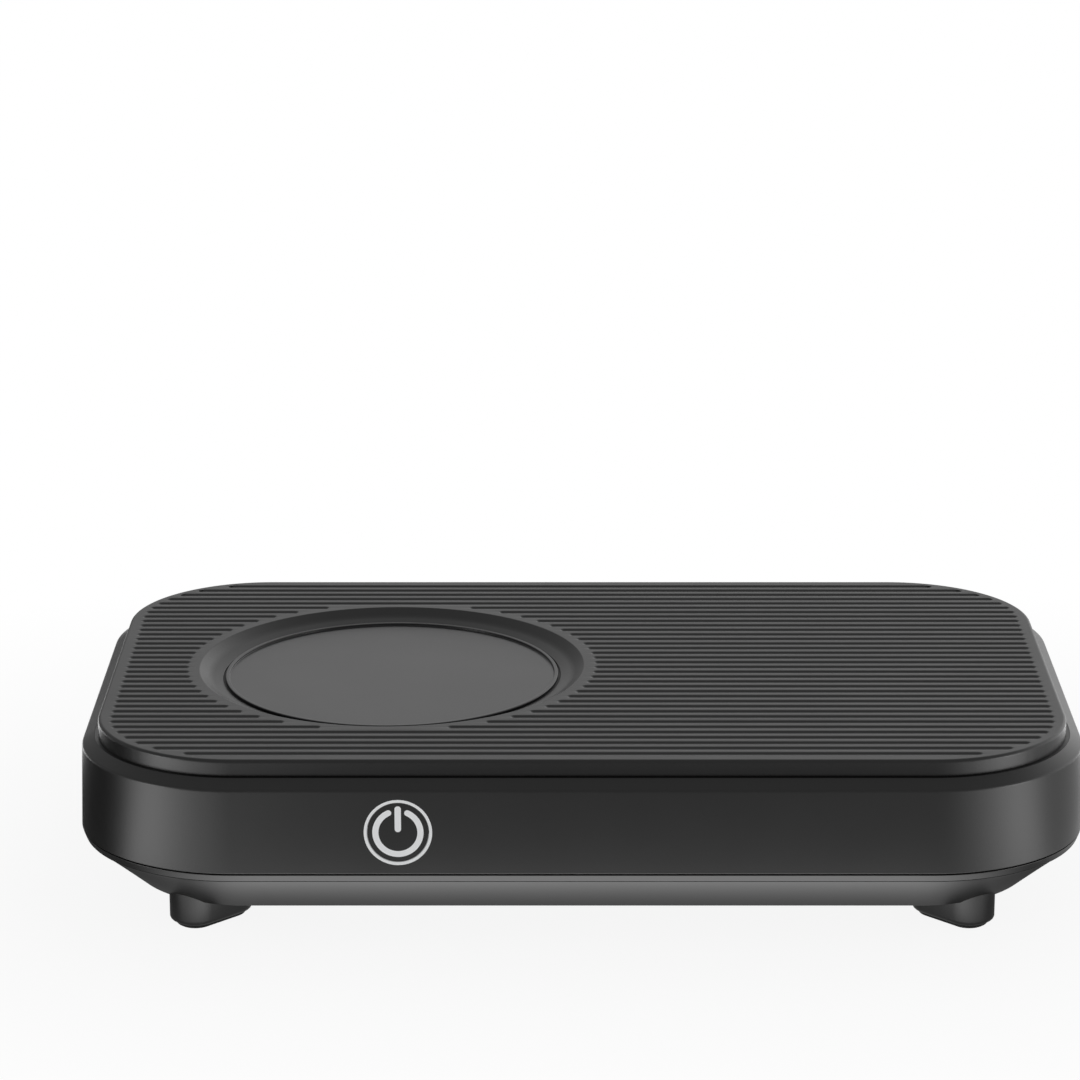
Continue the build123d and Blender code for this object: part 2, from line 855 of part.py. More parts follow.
def glyph_prism(shrink):
    """The power symbol, an open ring with a bar, run through the front of the cap."""
    middle = (glyph_outer + glyph_inner) / 2
    width = glyph_outer - glyph_inner - 2 * shrink
    arc = SlotArc(CenterArc((0, 0), middle, 90 + glyph_gap_half_angle, 360 - 2 * glyph_gap_half_angle), width)
    bar = Pos(0, glyph_bar_low + glyph_bar_length / 2) * Rot(0, 0, 90)
    bar = bar * SlotOverall(glyph_bar_length - 2 * shrink, glyph_bar_width - 2 * shrink)
    symbol = arc + bar
    prism = Rot(90, 0, 0) * extrude(symbol, base_depth)
    return Pos(button_x, lens_front_y, button_z) * prism


def glyph_lens():
    radius = button_diameter / 2 - button_wall
    body = post_y(button_x, button_z, lens_front_y, lens_front_y + lens_plate, 2 * radius)
    body += glyph_prism(0.0) & base_skin()
    return body + post_y(button_x, button_z, lens_front_y + lens_plate, plunger_front_y, lens_post)


def ring_light_guide():
    inner = button_diameter + 2 * button_clearance
    body = post_y(button_x, button_z, -base_depth, guide_seat_y, inner + 2 * ring_width) & base_skin()
    body += flange(guide_seat_y, guide_back_y, guide_flange)
    return body - post_y(button_x, button_z, -base_depth, 0, inner)


def button_board():
    body = block(
        button_x - button_board_width / 2,
        button_x + button_board_width / 2,
        button_board_y,
        button_board_back_y,
        button_z - button_board_height / 2,
        button_z + button_board_height / 2,
    )
    for x in button_screws:
        body -= post_y(x, button_z, button_board_y, button_board_back_y, small_hole)
    return body


def button_board_screws():
    driver = Rot(90, 0, 0) * small_screw()
    return [Pos(x, button_board_back_y, button_z) * driver for x in button_screws]


def indicator_leds():
    half = led_size / 2
    return [
        block(x - half, x + half, button_board_y - led_height, button_board_y, z - half, z + half)
        for x, z in led_places
    ]


def switch_body():
    half = switch_size / 2
    body = block(button_x - half, button_x + half, switch_front_y, button_board_y, button_z - half, button_z + half)
    bottom = plunger_front_y + plunger_length + button_travel + plunger_stroke_room
    return body - post_y(button_x, button_z, switch_front_y, bottom, plunger_diameter + 2 * plunger_clearance)


def switch_plunger():
    return post_y(button_x, button_z, plunger_front_y, plunger_front_y + plunger_length, plunger_diameter)


def button_socket_x():
    return button_x + button_board_width / 2 - button_socket_inset


def button_socket():
    x = button_socket_x()
    half = button_socket_half_width
    z_low = cable_z - button_socket_half_height
    z_high = cable_z + button_socket_half_height
    return block(x - half, x + half, button_board_back_y, button_board_back_y + button_socket_depth, z_low, z_high)


# ---- internal leads -------------------------------------------------------------------------------
def button_cable():
    """A flat cable on edge, from the button board's socket to the control board's."""
    x0 = button_socket_x()
    y0 = button_board_back_y + button_socket_depth
    x1 = cable_socket_x() + cable_socket_width / 2
    y1 = cable_socket_y()
    y_mid = (y0 + y1) / 2
    points = [(x0, y0), (x0, y_mid - cable_sway), (x1, y_mid + cable_sway), (x1, y1)]
    path = FilletPolyline(*[(x, y, cable_z) for x, y in points], radius=cable_bend)
    start = Plane(origin=path @ 0, x_dir=(0, 0, 1), z_dir=path % 0)
    return sweep(start * Rectangle(cable_width, cable_thickness), path=path)


def heater_leads():
    first = recess_y - lead_pitch
    second = recess_y + cutoff_lead_pitch
    end = heater_socket_x()
    from_heater = [
        (recess_x + heater_lead_offset, first, heater_under_z),
        (recess_x + heater_lead_offset, first, lead_run_z),
        (end, first, lead_run_z),
    ]
    from_cutoff = [
        (recess_x - cutoff_offset, second, heater_under_z - cutoff_height),
        (recess_x - cutoff_offset, second, lead_run_z),
        (end, second, lead_run_z),
    ]
    return [lead(from_heater, lead_diameter, lead_bend), lead(from_cutoff, lead_diameter, lead_bend)]


def sensor_lead():
    points = [
        (recess_x, recess_y, heater_under_z - sensor_length),
        (recess_x, recess_y, lead_run_z),
        (heater_socket_x(), recess_y, lead_run_z),
    ]
    return lead(points, sensor_lead_diameter, sensor_lead_bend)


def coil_leads():
    z = (coil_top_z + ferrite_top_z) / 2
    wires = []
    for side in (-1, 1):
        points = [
            (coil_x + side * coil_bore, coil_y, z),
            (coil_x + side * (coil_bore - coil_lead_inset), coil_y, z),
            (coil_x + side * (coil_bore - coil_lead_inset), coil_y, socket_top_z()),
        ]
        wires.append(lead(points, coil_lead_diameter, coil_lead_bend))
    return wires


# ---- write one STEP per node ----------------------------------------------------------------------
nodes = {
    "top_cover": top_cover,
    "housing": housing,
    "bottom_cover": bottom_cover,
    "foot_pads": foot_pads,
    "housing_screws": housing_screws,
    "heating_plate": heating_plate,
    "plate_gasket": plate_gasket,
    "heater_element": heater_element,
    "insulation_pad": insulation_pad,
    "heater_bracket": heater_bracket,
    "heater_screws": heater_screws,
    "thermal_cutoff": thermal_cutoff,
    "temperature_sensor": temperature_sensor,
    "heater_leads": heater_leads,
    "sensor_lead": sensor_lead,
    "charging_coil": charging_coil,
    "ferrite_disc": ferrite_disc,
    "coil_tray": coil_tray,
    "coil_tray_screws": coil_tray_screws,
    "coil_leads": coil_leads,
    "control_board": control_board,
    "control_chips": control_chips,
    "power_inductors": power_inductors,
    "filter_capacitors": filter_capacitors,
    "resonant_capacitors": resonant_capacitors,
    "power_transistors": power_transistors,
    "lead_sockets": lead_sockets,
    "board_screws": board_screws,
    "dc_jack_body": dc_jack_body,
    "dc_jack_pin": dc_jack_pin,
    "dc_jack_spring": dc_jack_spring,
    "power_button_cap": power_button_cap,
    "glyph_lens": glyph_lens,
    "ring_light_guide": ring_light_guide,
    "button_board": button_board,
    "button_board_screws": button_board_screws,
    "indicator_leds": indicator_leds,
    "switch_body": switch_body,
    "switch_plunger": switch_plunger,
    "button_socket": button_socket,
    "button_cable": button_cable,
}

for name, make in nodes.items():
    shape = make()
    if isinstance(shape, list):
        shape = Compound(children=[Compound(item.solids()) for item in shape])
    export_step(shape, f"parts/{name}.step")
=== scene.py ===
"""Dresses the two-in-one mug warmer: ribbed cover, housing, bottom cover with feet, heating plate, and the
finishes of these and of every solid that shows as it is.

Every piece is worked out in metres in the part's own frame: +Z up, power button towards -Y, origin on the
ground. Insets are measured inwards from the widest outline of the base, which lies at the parting line.
"""

import json
from math import pi, radians

import bmesh
import bpy
import numpy as np
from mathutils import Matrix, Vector


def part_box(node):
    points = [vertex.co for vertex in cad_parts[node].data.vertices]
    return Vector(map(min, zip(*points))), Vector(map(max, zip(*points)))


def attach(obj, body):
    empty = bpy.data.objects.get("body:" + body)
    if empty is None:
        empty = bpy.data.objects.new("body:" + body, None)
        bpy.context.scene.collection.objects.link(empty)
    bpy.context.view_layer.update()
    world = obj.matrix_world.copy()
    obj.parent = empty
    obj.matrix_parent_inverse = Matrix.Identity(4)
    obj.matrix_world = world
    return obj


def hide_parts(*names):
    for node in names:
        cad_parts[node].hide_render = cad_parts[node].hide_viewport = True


bl_info = {
    "name": "Mug Warmer Base",
    "version": (1, 0, 0),
    "blender": (4, 5, 0),
    "location": "3D View > Sidebar > Mug Warmer",
    "description": "Builds the pieces and finishes of a ribbed mug warmer with a charging pad",
    "category": "Add Mesh",
}

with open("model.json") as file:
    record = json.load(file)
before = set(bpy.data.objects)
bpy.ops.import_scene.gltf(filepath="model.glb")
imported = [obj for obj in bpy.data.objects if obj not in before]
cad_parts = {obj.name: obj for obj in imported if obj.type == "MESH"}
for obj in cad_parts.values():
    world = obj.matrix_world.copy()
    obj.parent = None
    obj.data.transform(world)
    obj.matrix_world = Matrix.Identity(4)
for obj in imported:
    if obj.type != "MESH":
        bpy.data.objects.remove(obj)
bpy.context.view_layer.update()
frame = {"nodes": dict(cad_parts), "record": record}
MM = 0.001
BASE_BODY = "base"
MERGE_DISTANCE = 0.002 * MM
# How far past an arc's end the row lies that keeps the flat beside it flat.
SUPPORT = 0.12 * MM
# Width of the slow drift in every finish.
DRIFT_MM = 14
# Radius between the cover's wall and its undercut, as a share of the undercut.
UNDERCUT_EDGE = 0.9
# Stage: half the floor's side, the camera's sensor in mm, the softboxes' size and places and what they face.
FLOOR_HALF = 4.0
SENSOR_WIDTH = 36
SOFTBOX_SIZE = (0.22, 0.12)
LEFT_SOFTBOX = (-0.60, -0.33, 0.06)
RIGHT_SOFTBOX = (0.62, -0.31, 0.06)
LAMP_AIM = (0, 0, 0.03)

housing_low, housing_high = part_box("housing")
plate_low, plate_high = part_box("heating_plate")
ring_low, ring_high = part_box("ring_light_guide")
jack_low, jack_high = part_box("dc_jack_pin")
flange_width = plate_high.x - plate_low.x
cover_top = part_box("top_cover")[1].z
pads_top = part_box("foot_pads")[1].z


# ---- settings -------------------------------------------------------------------------------------
def length(name, description, metres):
    return bpy.props.FloatProperty(
        name=name, description=description, default=metres, unit="LENGTH", subtype="DISTANCE", precision=5
    )


def count(name, description, default):
    return bpy.props.IntProperty(name=name, description=description, default=default, min=1)


def share(name, description, default):
    return bpy.props.FloatProperty(
        name=name, description=description, default=default, min=0.0, max=1.0, subtype="FACTOR"
    )


def strength(name, description, default):
    return bpy.props.FloatProperty(name=name, description=description, default=default, min=0.0)


def angle(name, description, degrees):
    return bpy.props.FloatProperty(
        name=name, description=description, default=radians(degrees), subtype="ANGLE"
    )


def colour(name, description, hex_value):
    default = linear(hex_value)[:3]
    return bpy.props.FloatVectorProperty(
        name=name, description=description, default=default, size=3, subtype="COLOR", min=0.0, max=1.0
    )


def linear(hex_value):
    """An sRGB colour written as 0xRRGGBB, turned to linear light with its alpha."""
    srgb = np.array([(hex_value >> shift) & 255 for shift in (16, 8, 0)]) / 255
    value = np.where(srgb <= 0.04045, srgb / 12.92, ((srgb + 0.055) / 1.055) ** 2.4)
    return (*[float(v) for v in value], 1.0)


class BaseSizes(bpy.types.PropertyGroup):
    """Outline, housing and bottom cover."""

    width: length("Width", "Widest outline along X", housing_high.x - housing_low.x)
    depth: length("Depth", "Widest outline along Y", housing_high.y - housing_low.y)
    corner: length("Corner radius", "Corner radius of the widest outline", 34.0 * MM)
    parting: length("Parting height", "Height of the widest outline", 17.4 * MM)
    shoulder: length("Shoulder height", "Height of the shoulder's outer edge", 35.2 * MM)
    shoulder_inner: length("Shoulder inner height", "Height of the shoulder's inner edge", housing_high.z)
    draft: length("Draft", "Inset of the wall at the shoulder", 0.54 * MM)
    shoulder_width: length("Shoulder width", "Width of the sloped shoulder", 2.66 * MM)
    shoulder_edge: length("Shoulder edge", "Radius between wall and shoulder", 0.9 * MM)
    wall: length("Wall", "Wall thickness of the housing", 2.5 * MM)
    line_height: length("Line height", "Height of the fine line under the parting line", 15.5 * MM)
    underside: length("Underside height", "Height of the flat underside", 6.2 * MM)
    bevel: length("Bevel inset", "Inset of the underside from the widest outline", 11.0 * MM)
    bevel_edge: length("Bevel edge", "Radius between the bevel and the underside", 0.4 * MM)
    corner_growth: length("Corner growth", "Growth of the bevel's corner radius down to its foot", 2.3 * MM)


class CoverSizes(bpy.types.PropertyGroup):
    """Ribbed top cover and its recess."""

    inset: length("Inset", "Inset of the cover from the widest outline", 4.0 * MM)
    top: length("Top height", "Height of the cover's top face", cover_top)
    skirt_foot: length("Skirt foot", "Height of the ledge that the skirt stands on", 34.0 * MM)
    thickness: length("Thickness", "Thickness of the cover", 2.5 * MM)
    edge: length("Edge radius", "Radius round the top edge", 0.7 * MM)
    undercut_height: length("Undercut height", "Height of the wall's undercut foot", 36.85 * MM)
    undercut: length("Undercut", "How far the wall's foot is undercut", 0.3 * MM)
    margin: length("Margin", "Smooth margin carried round the ribbed field", 1.9 * MM)
    grooves: count("Grooves", "Number of grooves", 36)
    pitch: length("Pitch", "Distance between grooves", 3.337 * MM)
    groove_width: length("Groove width", "Width of a groove at half its depth", 1.33 * MM)
    groove_depth: length("Groove depth", "Depth of a groove", 0.33 * MM)
    groove_edge: length("Groove edge", "Half the width of a groove's sloping side", 0.4 * MM)
    groove_half_width: length("Groove field half width", "Half the width of the grooved field", 98.65 * MM)
    groove_half_depth: length("Groove field half depth", "Half the depth of the grooved field", 59.7 * MM)
    groove_corner: length("Groove field corner", "Corner radius of the grooved field", 25.4 * MM)
    recess_x: length("Recess X", "Middle of the recess along X", (plate_low.x + plate_high.x) / 2)
    recess_y: length("Recess Y", "Middle of the recess along Y", (plate_low.y + plate_high.y) / 2)
    recess_radius: length("Recess radius", "Radius of the recess at the top face", 41.8 * MM)
    recess_floor: length("Recess floor height", "Height of the heating plate's face", 38.2 * MM)
    recess_opening: length("Recess opening", "Radius of the opening round the plate", 36.6 * MM)
    recess_land: length("Recess land", "Smooth land between the recess and the grooves", 2.5 * MM)
    recess_lip: length("Recess lip", "Radius of the recess's upper lip", 0.5 * MM)


class PlateSizes(bpy.types.PropertyGroup):
    """Heating plate."""

    radius: length("Radius", "Outer radius of the raised rim", 36.2 * MM)
    rim_width: length("Rim width", "Width of the raised rim", 0.9 * MM)
    rim_top: length("Rim top", "Height of the raised rim's top", plate_high.z)
    rim_edge: length("Rim edge", "Radius round the rim's upper edges", 0.2 * MM)
    rim_foot: length("Rim foot", "Radius between the rim and the plate's face", 0.15 * MM)
    flange_radius: length("Flange radius", "Radius of the flange under the cover", flange_width / 2)
    flange_thickness: length("Flange thickness", "Thickness of the flange", 1.8 * MM)
    flange_foot: length("Flange foot", "Height of the flange's underside", plate_low.z)


class FootSizes(bpy.types.PropertyGroup):
    """Feet and their pads."""

    x: length("Foot X", "Middle of a foot along X", 77.65 * MM)
    y: length("Foot Y", "Middle of a foot along Y", 46.05 * MM)
    long_side: length("Long side", "Length of a foot along its diagonal", 18.8 * MM)
    short_side: length("Short side", "Width of a foot", 10.8 * MM)
    corner: length("Corner", "Corner radius of a foot", 5.1 * MM)
    pad_inset: length("Pad inset", "Inset of the rubber pad from the foot", 1.3 * MM)
    pad_top: length("Pad top", "Thickness of the rubber pad", pads_top)
    edge: length("Edge", "Radius round the foot's lower edge", 1.0 * MM)
    depth_in: length("Depth in", "How far a foot reaches into the bottom cover", 1.7 * MM)
    angle: angle("Angle", "Turn of a foot from the long side", 45)


class OpeningSizes(bpy.types.PropertyGroup):
    """Button and inlet holes in the housing."""

    button_x: length("Button X", "Middle of the button along X", (ring_low.x + ring_high.x) / 2)
    button_z: length("Button Z", "Middle of the button along Z", (ring_low.z + ring_high.z) / 2)
    button_hole: length("Button hole radius", "Radius of the hole round the light ring", 6.95 * MM)
    inlet_x: length("Inlet X", "Middle of the power inlet along X", (jack_low.x + jack_high.x) / 2)
    inlet_z: length("Inlet Z", "Middle of the power inlet along Z", (jack_low.z + jack_high.z) / 2)
    inlet_hole: length("Inlet hole radius", "Radius of the hole round the inlet", 4.3 * MM)


class FinishSettings(bpy.types.PropertyGroup):
    """Colours of the outer finishes."""

    black: colour("Black", "Moulded black of the cover and housing", 0x080808)
    plate_black: colour("Plate black", "Coating of the heating plate", 0x161617)
    rubber_black: colour("Rubber black", "Feet and gasket", 0x151515)
    symbol_grey: colour("Symbol grey", "Light guide and power symbol", 0xD2D3D4)
    satin: share("Satin", "Roughness of the moulded black", 0.38)
    # A painted glow in the milky plastic of the symbol and its ring.
    glow: strength("Glow", "Strength of the light that the symbol and its ring give off", 0.32)


class StageSettings(bpy.types.PropertyGroup):
    """Camera, floor and lights."""

    camera_height: length("Camera height", "Height of the camera above the ground", 309.0 * MM)
    camera_distance: length("Camera distance", "Distance of the camera in front of the middle", 823.1 * MM)
    camera_x: length("Camera X", "Place of the camera along X", -4.9 * MM)
    pitch: angle("Pitch", "Downward tilt of the camera", 16.27)
    lens: bpy.props.FloatProperty(name="Lens", description="Focal length in mm", default=132.47, min=1.0)
    shift: bpy.props.FloatProperty(name="Shift", description="Sideways lens shift", default=-0.0173)
    floor_grey: colour("Floor", "Colour of the floor", 0xF4F4F4)
    floor_white: share("Floor white", "How white the camera sees the floor close to the base", 0.9)
    # A gloss sees painted light on the floor: a painted shadow under the base, a painted strip of light
    # beside it, painted shade on the left, painted light on the right and painted streaks of light off the
    # corners.
    painted_shadow_under: share("Mirrored shadow", "Brightness of the floor under the base in a gloss", 0.12)
    painted_light_strip: strength("Mirrored strip", "Brightness of the floor beside the base in a gloss", 3.65)
    mirrored_far: share("Mirrored floor", "Brightness of the floor further away in a gloss", 0.46)
    painted_shade_left: share("Mirrored left", "Share kept of the floor's brightness on the left in a gloss", 0.35)
    painted_light_right: strength("Mirrored right", "Times the floor is brighter on the right in a gloss", 1.6)
    painted_light_streak_left: strength("Left streak", "Brightness of the streak off the left corners in a gloss", 3.2)
    painted_light_streak_right: strength("Right streak", "Brightness of the streak off the right corners in a gloss", 2.6)
    world_sky: strength("Sky", "Strength of the light from above", 0.46)
    world_front: strength("Front", "Strength of the light from low in front of the base", 0.42)
    world_back: strength("Back", "Strength of the light from low behind the base", 0.8)
    world_back_left: strength("Back left", "Strength of the light from low behind and to the left", 0.35)
    world_back_right: strength("Back right", "Strength of the light from low behind and to the right", 1.5)
    left_light: strength("Left light", "Radiant power of the left softbox, in watts", 0.8)
    right_light: strength("Right light", "Radiant power of the right softbox, in watts", 0.8)


SETTINGS = {
    "warmer_base": BaseSizes,
    "warmer_cover": CoverSizes,
    "warmer_plate": PlateSizes,
    "warmer_feet": FootSizes,
    "warmer_holes": OpeningSizes,
    "warmer_finish": FinishSettings,
    "warmer_stage": StageSettings,
}


# ---- shapes ---------------------------------------------------------------------------------------
def rounded_section(corners, steps=6):
    """A section of (u, v, radius) corners. A corner with a radius becomes an arc tangent to both its sides:
    unit vectors from the arc's middle are turned evenly from one tangent point to the other. A row beside
    each end of an arc keeps the flats flat when the surface is shaded smooth."""
    rows = []
    total = len(corners)
    for index, (u, v, radius) in enumerate(corners):
        here = np.array([u, v])
        if radius <= 0:
            rows.append(here)
            continue
        before = np.array(corners[(index - 1) % total][:2]) - here
        after = np.array(corners[(index + 1) % total][:2]) - here
        room = (np.linalg.norm(before), np.linalg.norm(after))
        before, after = before / room[0], after / room[1]
        half = np.arccos(np.clip(before @ after, -1, 1)) / 2
        reach = radius / np.tan(half)
        middle = here + (before + after) / np.linalg.norm(before + after) * radius / np.sin(half)
        first, last = here + before * reach - middle, here + after * reach - middle
        sweep = pi - 2 * half
        turn = np.linspace(0, 1, steps + 1)[:, None]
        arc = (np.sin((1 - turn) * sweep) * first + np.sin(turn * sweep) * last) / np.sin(sweep)
        if reach + SUPPORT < room[0]:
            rows.append(here + before * (reach + SUPPORT))
        rows.extend(middle + arc)
        if reach + SUPPORT < room[1]:
            rows.append(here + after * (reach + SUPPORT))
    return np.array(rows)


def grid_faces(rows, columns, wrap_rows=False, wrap_columns=False, start=0):
    """Quads of a grid whose points are stored row by row."""
    index = start + np.arange(rows * columns).reshape(rows, columns)
    if wrap_rows:
        index = np.vstack([index, index[:1]])
    if wrap_columns:
        index = np.hstack([index, index[:, :1]])
    quads = np.stack([index[:-1, :-1], index[1:, :-1], index[1:, 1:], index[:-1, 1:]], axis=-1)
    return quads.reshape(-1, 4)


def corner_centres(base):
    return np.array([base.width / 2 - base.corner, base.depth / 2 - base.corner])


def stations_through(points, centres):
    """Each point of an outline is a point of the rectangle between the corner centres, found by clipping,
    plus the outline's radius along the outward direction."""
    skeleton = np.clip(points, -centres, centres)
    outward = points - skeleton
    return skeleton, outward / np.linalg.norm(outward, axis=1)[:, None]


def outline_stations(base, front=(), back=(), corner_steps=30, side_steps=8):
    """Stations round the base: the corners turned evenly, and the straight runs cut at the given X values."""
    centres = corner_centres(base)
    quarter = np.linspace(0, pi / 2, corner_steps + 1)
    turn = np.concatenate([quarter + k * pi / 2 for k in range(4)])
    corner = np.repeat(np.array([[1, 1], [-1, 1], [-1, -1], [1, -1]]), corner_steps + 1, axis=0) * centres
    skeleton = np.split(corner, 4)
    outward = np.split(np.stack([np.cos(turn), np.sin(turn)], axis=1), 4)
    side = np.linspace(-centres[1], centres[1], side_steps + 1)[1:-1]
    runs = [
        (np.stack([side * 0 + centres[0], side], axis=1), (1, 0)),
        (np.stack([np.sort(back)[::-1], np.zeros(len(back)) + centres[1]], axis=1), (0, 1)),
        (np.stack([side * 0 - centres[0], side[::-1]], axis=1), (-1, 0)),
        (np.stack([np.sort(front), np.zeros(len(front)) - centres[1]], axis=1), (0, -1)),
    ]
    points, directions = [], []
    for (run, direction), at, away in zip(runs, skeleton, outward):
        points += [run, at]
        directions += [np.tile(direction, (len(run), 1)), away]
    return np.vstack(points), np.vstack(directions)


def carried(stations, section, corner):
    """A section carried round an outline. A row at inset i lies (corner radius - i) from each station's
    skeleton point along its outward direction, at the row's height."""
    skeleton, outward = stations
    reach = corner - section[:, 0]
    flat = skeleton[:, None, :] + outward[:, None, :] * reach[None, :, None]
    height = np.broadcast_to(section[:, 1], flat.shape[:2])
    return np.concatenate([flat, height[..., None]], axis=2)


def turned(angles, section, middle):
    """A section of (radius, height) turned about an upright axis through the middle."""
    across = section[None, :, 0] * np.cos(angles)[:, None] + middle[0]
    along = section[None, :, 0] * np.sin(angles)[:, None] + middle[1]
    height = np.broadcast_to(section[:, 1], across.shape)
    return np.stack([across, along, height], axis=2)


def chord(half_width, half_depth, corner, y):
    """Half the width of a rounded rectangle at the distance y from its middle: the side's reach at the
    corner centre plus the leg of the corner's right triangle."""
    beyond = np.maximum(np.abs(y) - (half_depth - corner), 0)
    return half_width - corner + np.sqrt(np.maximum(corner**2 - beyond**2, 0))


def finished(name, vertices, faces, crease=30):
    """A mesh object from points and quads: doubles merged, points that no face uses dropped, faces turned
    outwards, shaded smooth with creases where faces meet more sharply than the given angle in degrees."""
    mesh = bpy.data.meshes.new(name)
    mesh.from_pydata(np.asarray(vertices).reshape(-1, 3).tolist(), [], np.asarray(faces).tolist())
    work = bmesh.new()
    work.from_mesh(mesh)
    bmesh.ops.remove_doubles(work, verts=work.verts, dist=MERGE_DISTANCE)
    bmesh.ops.delete(work, geom=[v for v in work.verts if not v.link_faces], context="VERTS")
    bmesh.ops.recalc_face_normals(work, faces=work.faces)
    work.to_mesh(mesh)
    work.free()
    mesh.shade_smooth()
    mesh.set_sharp_from_angle(angle=radians(crease))
    piece = bpy.data.objects.new(name, mesh)
    bpy.context.scene.collection.objects.link(piece)
    return piece


def place(piece, material, slot, *nodes):
    """Gives a piece its finish, lets it ride on the base and hides the solids that it stands for."""
    piece.data.materials.append(material)
    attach(piece, BASE_BODY)
    if nodes:
        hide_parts(*nodes)


# ---- ribbed top cover -----------------------------------------------------------------------------
class RibbedField:
    """The grid of the ribbed field: rows along X, closer where a groove's side, a corner or the recess
    needs them, and the same number of columns in each row, half of them on each side of the recess."""

    # Columns across a groove's end, measured inwards from its tip.
    CAP = np.array([-0.34, -0.16, 0.0, 0.16, 0.32, 0.5, 0.7, 0.9, 1.15, 1.5]) * MM
    # Rows across half a groove, measured from its middle line.
    FLANK = np.array([0.0, 0.35, 0.47, 0.59, 0.71, 0.83, 0.95, 1.07]) * MM
    # Rows round the field's corners and the recess, closer where the curve runs along X.
    CORNER_TURNS = np.radians([55, 60, 65, 69, 72, 75, 78, 80.5, 83, 85, 87, 88.6, 90])
    # Columns in the straight between a groove's two ends, as shares of it.
    INNER = np.array([1 / 3, 2 / 3])
    # The least distance between two columns, and between a groove's row and another row.
    APART = 0.03 * MM
    ROW_APART = 0.04 * MM
    # Room between the end of the recess's lip and the field.
    LIP_ROOM = 0.2 * MM

    def __init__(self, base, cover):
        self.cover = cover
        self.centres = corner_centres(base)
        self.field_radius = base.corner - cover.inset - cover.margin
        self.hole = cover.recess_radius + cover.recess_lip + self.LIP_ROOM
        self.stop = cover.recess_radius + cover.recess_land
        self.first = -cover.pitch * (cover.grooves - 1) / 2
        self.rows = self._rows()
        self.x = self._columns()
        self.y = np.broadcast_to(self.rows[:, None], self.x.shape)
        self.half = self.x.shape[1] // 2

    def _rows(self):
        """Rows at each groove's flanks, and at even turns round the field's corners and the recess."""
        centres = self.first + self.cover.pitch * np.arange(self.cover.grooves)
        flanks = np.concatenate([-self.FLANK[::-1], self.FLANK[1:]])
        grooves = (centres[:, None] + flanks[None, :]).ravel()
        corner = self.centres[1] + self.field_radius * np.sin(self.CORNER_TURNS)
        ring = self.hole * np.sin(self.CORNER_TURNS)
        fixed = np.concatenate([corner, -corner, self.cover.recess_y + ring, self.cover.recess_y - ring])
        apart = np.abs(grooves[:, None] - fixed[None, :]).min(axis=1) > self.ROW_APART
        inside = np.abs(grooves) < corner.max()
        return np.unique(np.concatenate([grooves[apart & inside], fixed]).round(8))

    def _nearest(self, y):
        index = np.clip(np.round((y - self.first) / self.cover.pitch), 0, self.cover.grooves - 1)
        return self.first + self.cover.pitch * index

    def _ends(self, groove_y):
        """The outer tip of a groove, and the half width of its gap at the recess, 0 where it runs through."""
        cover = self.cover
        tip = chord(cover.groove_half_width, cover.groove_half_depth, cover.groove_corner, groove_y)
        gap = np.sqrt(np.maximum(self.stop**2 - (groove_y - cover.recess_y) ** 2, 0))
        return tip, gap

    def _columns(self):
        """X of each column: the field's edge, a run across a groove's outer tip, the straight, a run across
        its tip at the recess, and the recess's edge, then the same in reverse on the other side."""
        y = self.rows[:, None]
        middle = self.cover.recess_x
        edge = chord(*(self.centres + self.field_radius), self.field_radius, y)
        tip, gap = self._ends(self._nearest(y))
        hole = np.sqrt(np.maximum(self.hole**2 - (y - self.cover.recess_y) ** 2, 0))
        least = self.APART * np.arange(1, len(self.CAP) + 1)
        outer = np.minimum(tip - self.CAP, edge - least)
        inner = np.maximum(gap + self.CAP, hole + least)
        outer_left, inner_left = -outer, middle - inner[:, ::-1]
        inner_right, outer_right = middle + inner, outer[:, ::-1]
        left = outer_left[:, -1:] + (inner_left[:, :1] - outer_left[:, -1:]) * self.INNER
        right = inner_right[:, -1:] + (outer_right[:, :1] - inner_right[:, -1:]) * self.INNER
        left_half = [-edge, outer_left, left, inner_left, middle - hole]
        right_half = [middle + hole, inner_right, right, outer_right, edge]
        return np.hstack(left_half + right_half)

    def height(self):
        """The top face less a groove's depth, which eases from full to nothing across the groove's edge.
        The distance that counts is the one from the groove's middle line, so its ends are round."""
        cover = self.cover
        groove_y = self._nearest(self.y)
        tip, gap = self._ends(groove_y)
        reach = cover.groove_width / 2
        split = gap > 0
        left_end = np.where(split, cover.recess_x - gap, tip)
        right_start = np.where(split, cover.recess_x + gap, -tip)
        left = np.maximum(np.maximum(-tip + reach - self.x, self.x - left_end + reach), 0)
        right = np.maximum(np.maximum(right_start + reach - self.x, self.x - tip + reach), 0)
        away = np.hypot(np.minimum(left, right), self.y - groove_y)
        ease = np.clip((reach + cover.groove_edge - away) / (2 * cover.groove_edge), 0, 1)
        return cover.top - cover.groove_depth * ease**2 * (3 - 2 * ease)

    def faces(self, start=0):
        rows, columns = self.x.shape
        cells = grid_faces(rows, columns, start=start).reshape(rows - 1, columns - 1, 4)
        return np.delete(cells, self.half - 1, axis=1).reshape(-1, 4)

    def border(self):
        """The field's outer edge, once round: front, right, back, left."""
        x, y = self.x, self.y
        across = np.concatenate([x[0], x[1:, -1], x[-1, -2::-1], x[-2:0:-1, 0]])
        along = np.concatenate([y[0], y[1:, -1], y[-1, -2::-1], y[-2:0:-1, 0]])
        return np.stack([across, along], axis=1)

    def recess_angles(self):
        """The angles of the rows' ends round the recess, once round."""
        inside = np.abs(self.rows - self.cover.recess_y) <= self.hole + MERGE_DISTANCE
        left, right = self.x[inside, self.half - 1], self.x[inside, self.half]
        y = self.rows[inside]
        x = np.concatenate([right, left[-2:0:-1]])
        y = np.concatenate([y, y[-2:0:-1]])
        return np.arctan2(y - self.cover.recess_y, x - self.cover.recess_x)


